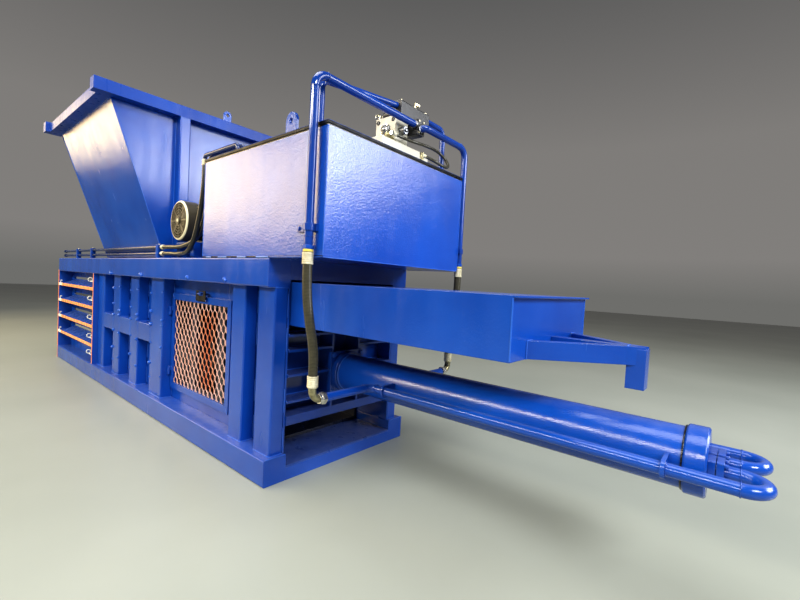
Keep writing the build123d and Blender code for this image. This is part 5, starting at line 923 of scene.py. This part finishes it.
# The redder patch across the middle of the strands is painted light: an orange glow from behind the mesh.
mesh_primer = enamel("mesh_primer", (0.64, 0.41, 0.36), (0.56, 0.28, 0.20), 0.4, 0.0003, 0.0, (
    ((0.56, 0.23, 0.13), {"x": (1.34, 1.60), "z": (0.34, 0.92)}),
    ((0.48, 0.13, 0.05), {"x": (1.41, 1.54), "z": (0.36, 0.86)})))
door_strands = grow("door_strands", paths_mesh("door_strands", [[(0, 0, 0)]]), lattice, {}, mesh_primer,
                    "door")
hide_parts("door_mesh")
weld("door_welds", [[(outer_x, -486, outer_z), (inner_x, -486, inner_z)]
                    for outer_z, inner_z in ((242, 288), (1018, 972))
                    for outer_x, inner_x in ((857, 903), (1808, 1762))], 2.2, body="door")

# Workshop floor and studio light: a pale resin floor under soft panels, two long warm ones along
# the near side, two over the cylinder end, one overhead and a small one for the hopper.
reach = 30
floor_data = bpy.data.meshes.new("floor")
floor_data.from_pydata([(-reach, -reach, 0), (reach, -reach, 0), (reach, reach, 0), (-reach, reach, 0)], [],
                       [(0, 1, 2, 3)])
floor_paint, floor_tree, floor_shader, floor_place = new_material("floor_paint")
wire(floor_tree, floor_shader, {
    "Base Color": ramp(floor_tree, noise(floor_tree, floor_place, 0.5, 6.0),
                       (0.3, (0.27, 0.29, 0.255)), (0.7, (0.325, 0.345, 0.305))),
    "Normal": bump(floor_tree, noise(floor_tree, floor_place, 3.0, 3.0), 0.3, 0.004),
    "Roughness": 0.36, "Specular IOR Level": 0.32})
floor_data.materials.append(floor_paint)
put("floor", floor_data)

world = bpy.data.worlds.new("studio")
world.use_nodes = True
world_tree = world.node_tree
sky = add(world_tree, "ShaderNodeTexCoord", {}, "Generated")
sky = ramp(world_tree, add(world_tree, "ShaderNodeSeparateXYZ", {0: sky}, "Z"),
           (0.0, (0.20, 0.20, 0.19)), (0.08, (0.27, 0.26, 0.25)), (0.3, (0.26, 0.25, 0.24)),
           (0.6, (0.13, 0.13, 0.13)), (1.0, (0.10, 0.10, 0.11)))
wire(world_tree, world_tree.nodes["Background"], {"Strength": 0.9, "Color": sky})
bpy.context.scene.world = world

for name, spot, aim, width, height, power, color in (
        ("lamp_near", (-6.2, -5.6, 3.75), (1.5, -0.6, 1.5), 7.0, 2.9, 500, (1.0, 0.76, 0.40)),
        ("lamp_side", (0.5, -7.5, 5.2), (2.0, 0, 0.8), 10.0, 0.6, 820, (1.0, 0.93, 0.80)),
        ("lamp_end", (9.2, 4.4, 4.7), (2.9, -0.3, 1.6), 4.4, 2.2, 350, (0.95, 0.97, 1.0)),
        ("lamp_front", (12.5, -4.5, 9.0), (2.6, 0, 1.0), 5.0, 3.0, 1700, (0.97, 0.98, 1.0)),
        ("lamp_top", (1.5, -1.0, 8.5), (1.5, -0.5, 0.8), 8.0, 4.0, 600, (1.0, 0.98, 0.95)),
        ("lamp_hopper", (9.0, 2.6, 3.3), (0.7, -0.3, 1.9), 2.6, 1.8, 170, (0.97, 0.98, 1.0))):
    data = bpy.data.lights.new(name, "AREA")
    data.shape = "RECTANGLE"
    data.size = width
    data.size_y = height
    data.energy = power
    data.color = color
    lamp = put(name, data)
    lamp.location = spot
    lamp.rotation_euler = (Vector(aim) - Vector(spot)).to_track_quat("-Z", "Y").to_euler()
view = bpy.context.scene.view_settings
view.view_transform = "Standard"
view.look = "Medium High Contrast"
view.exposure = -0.18
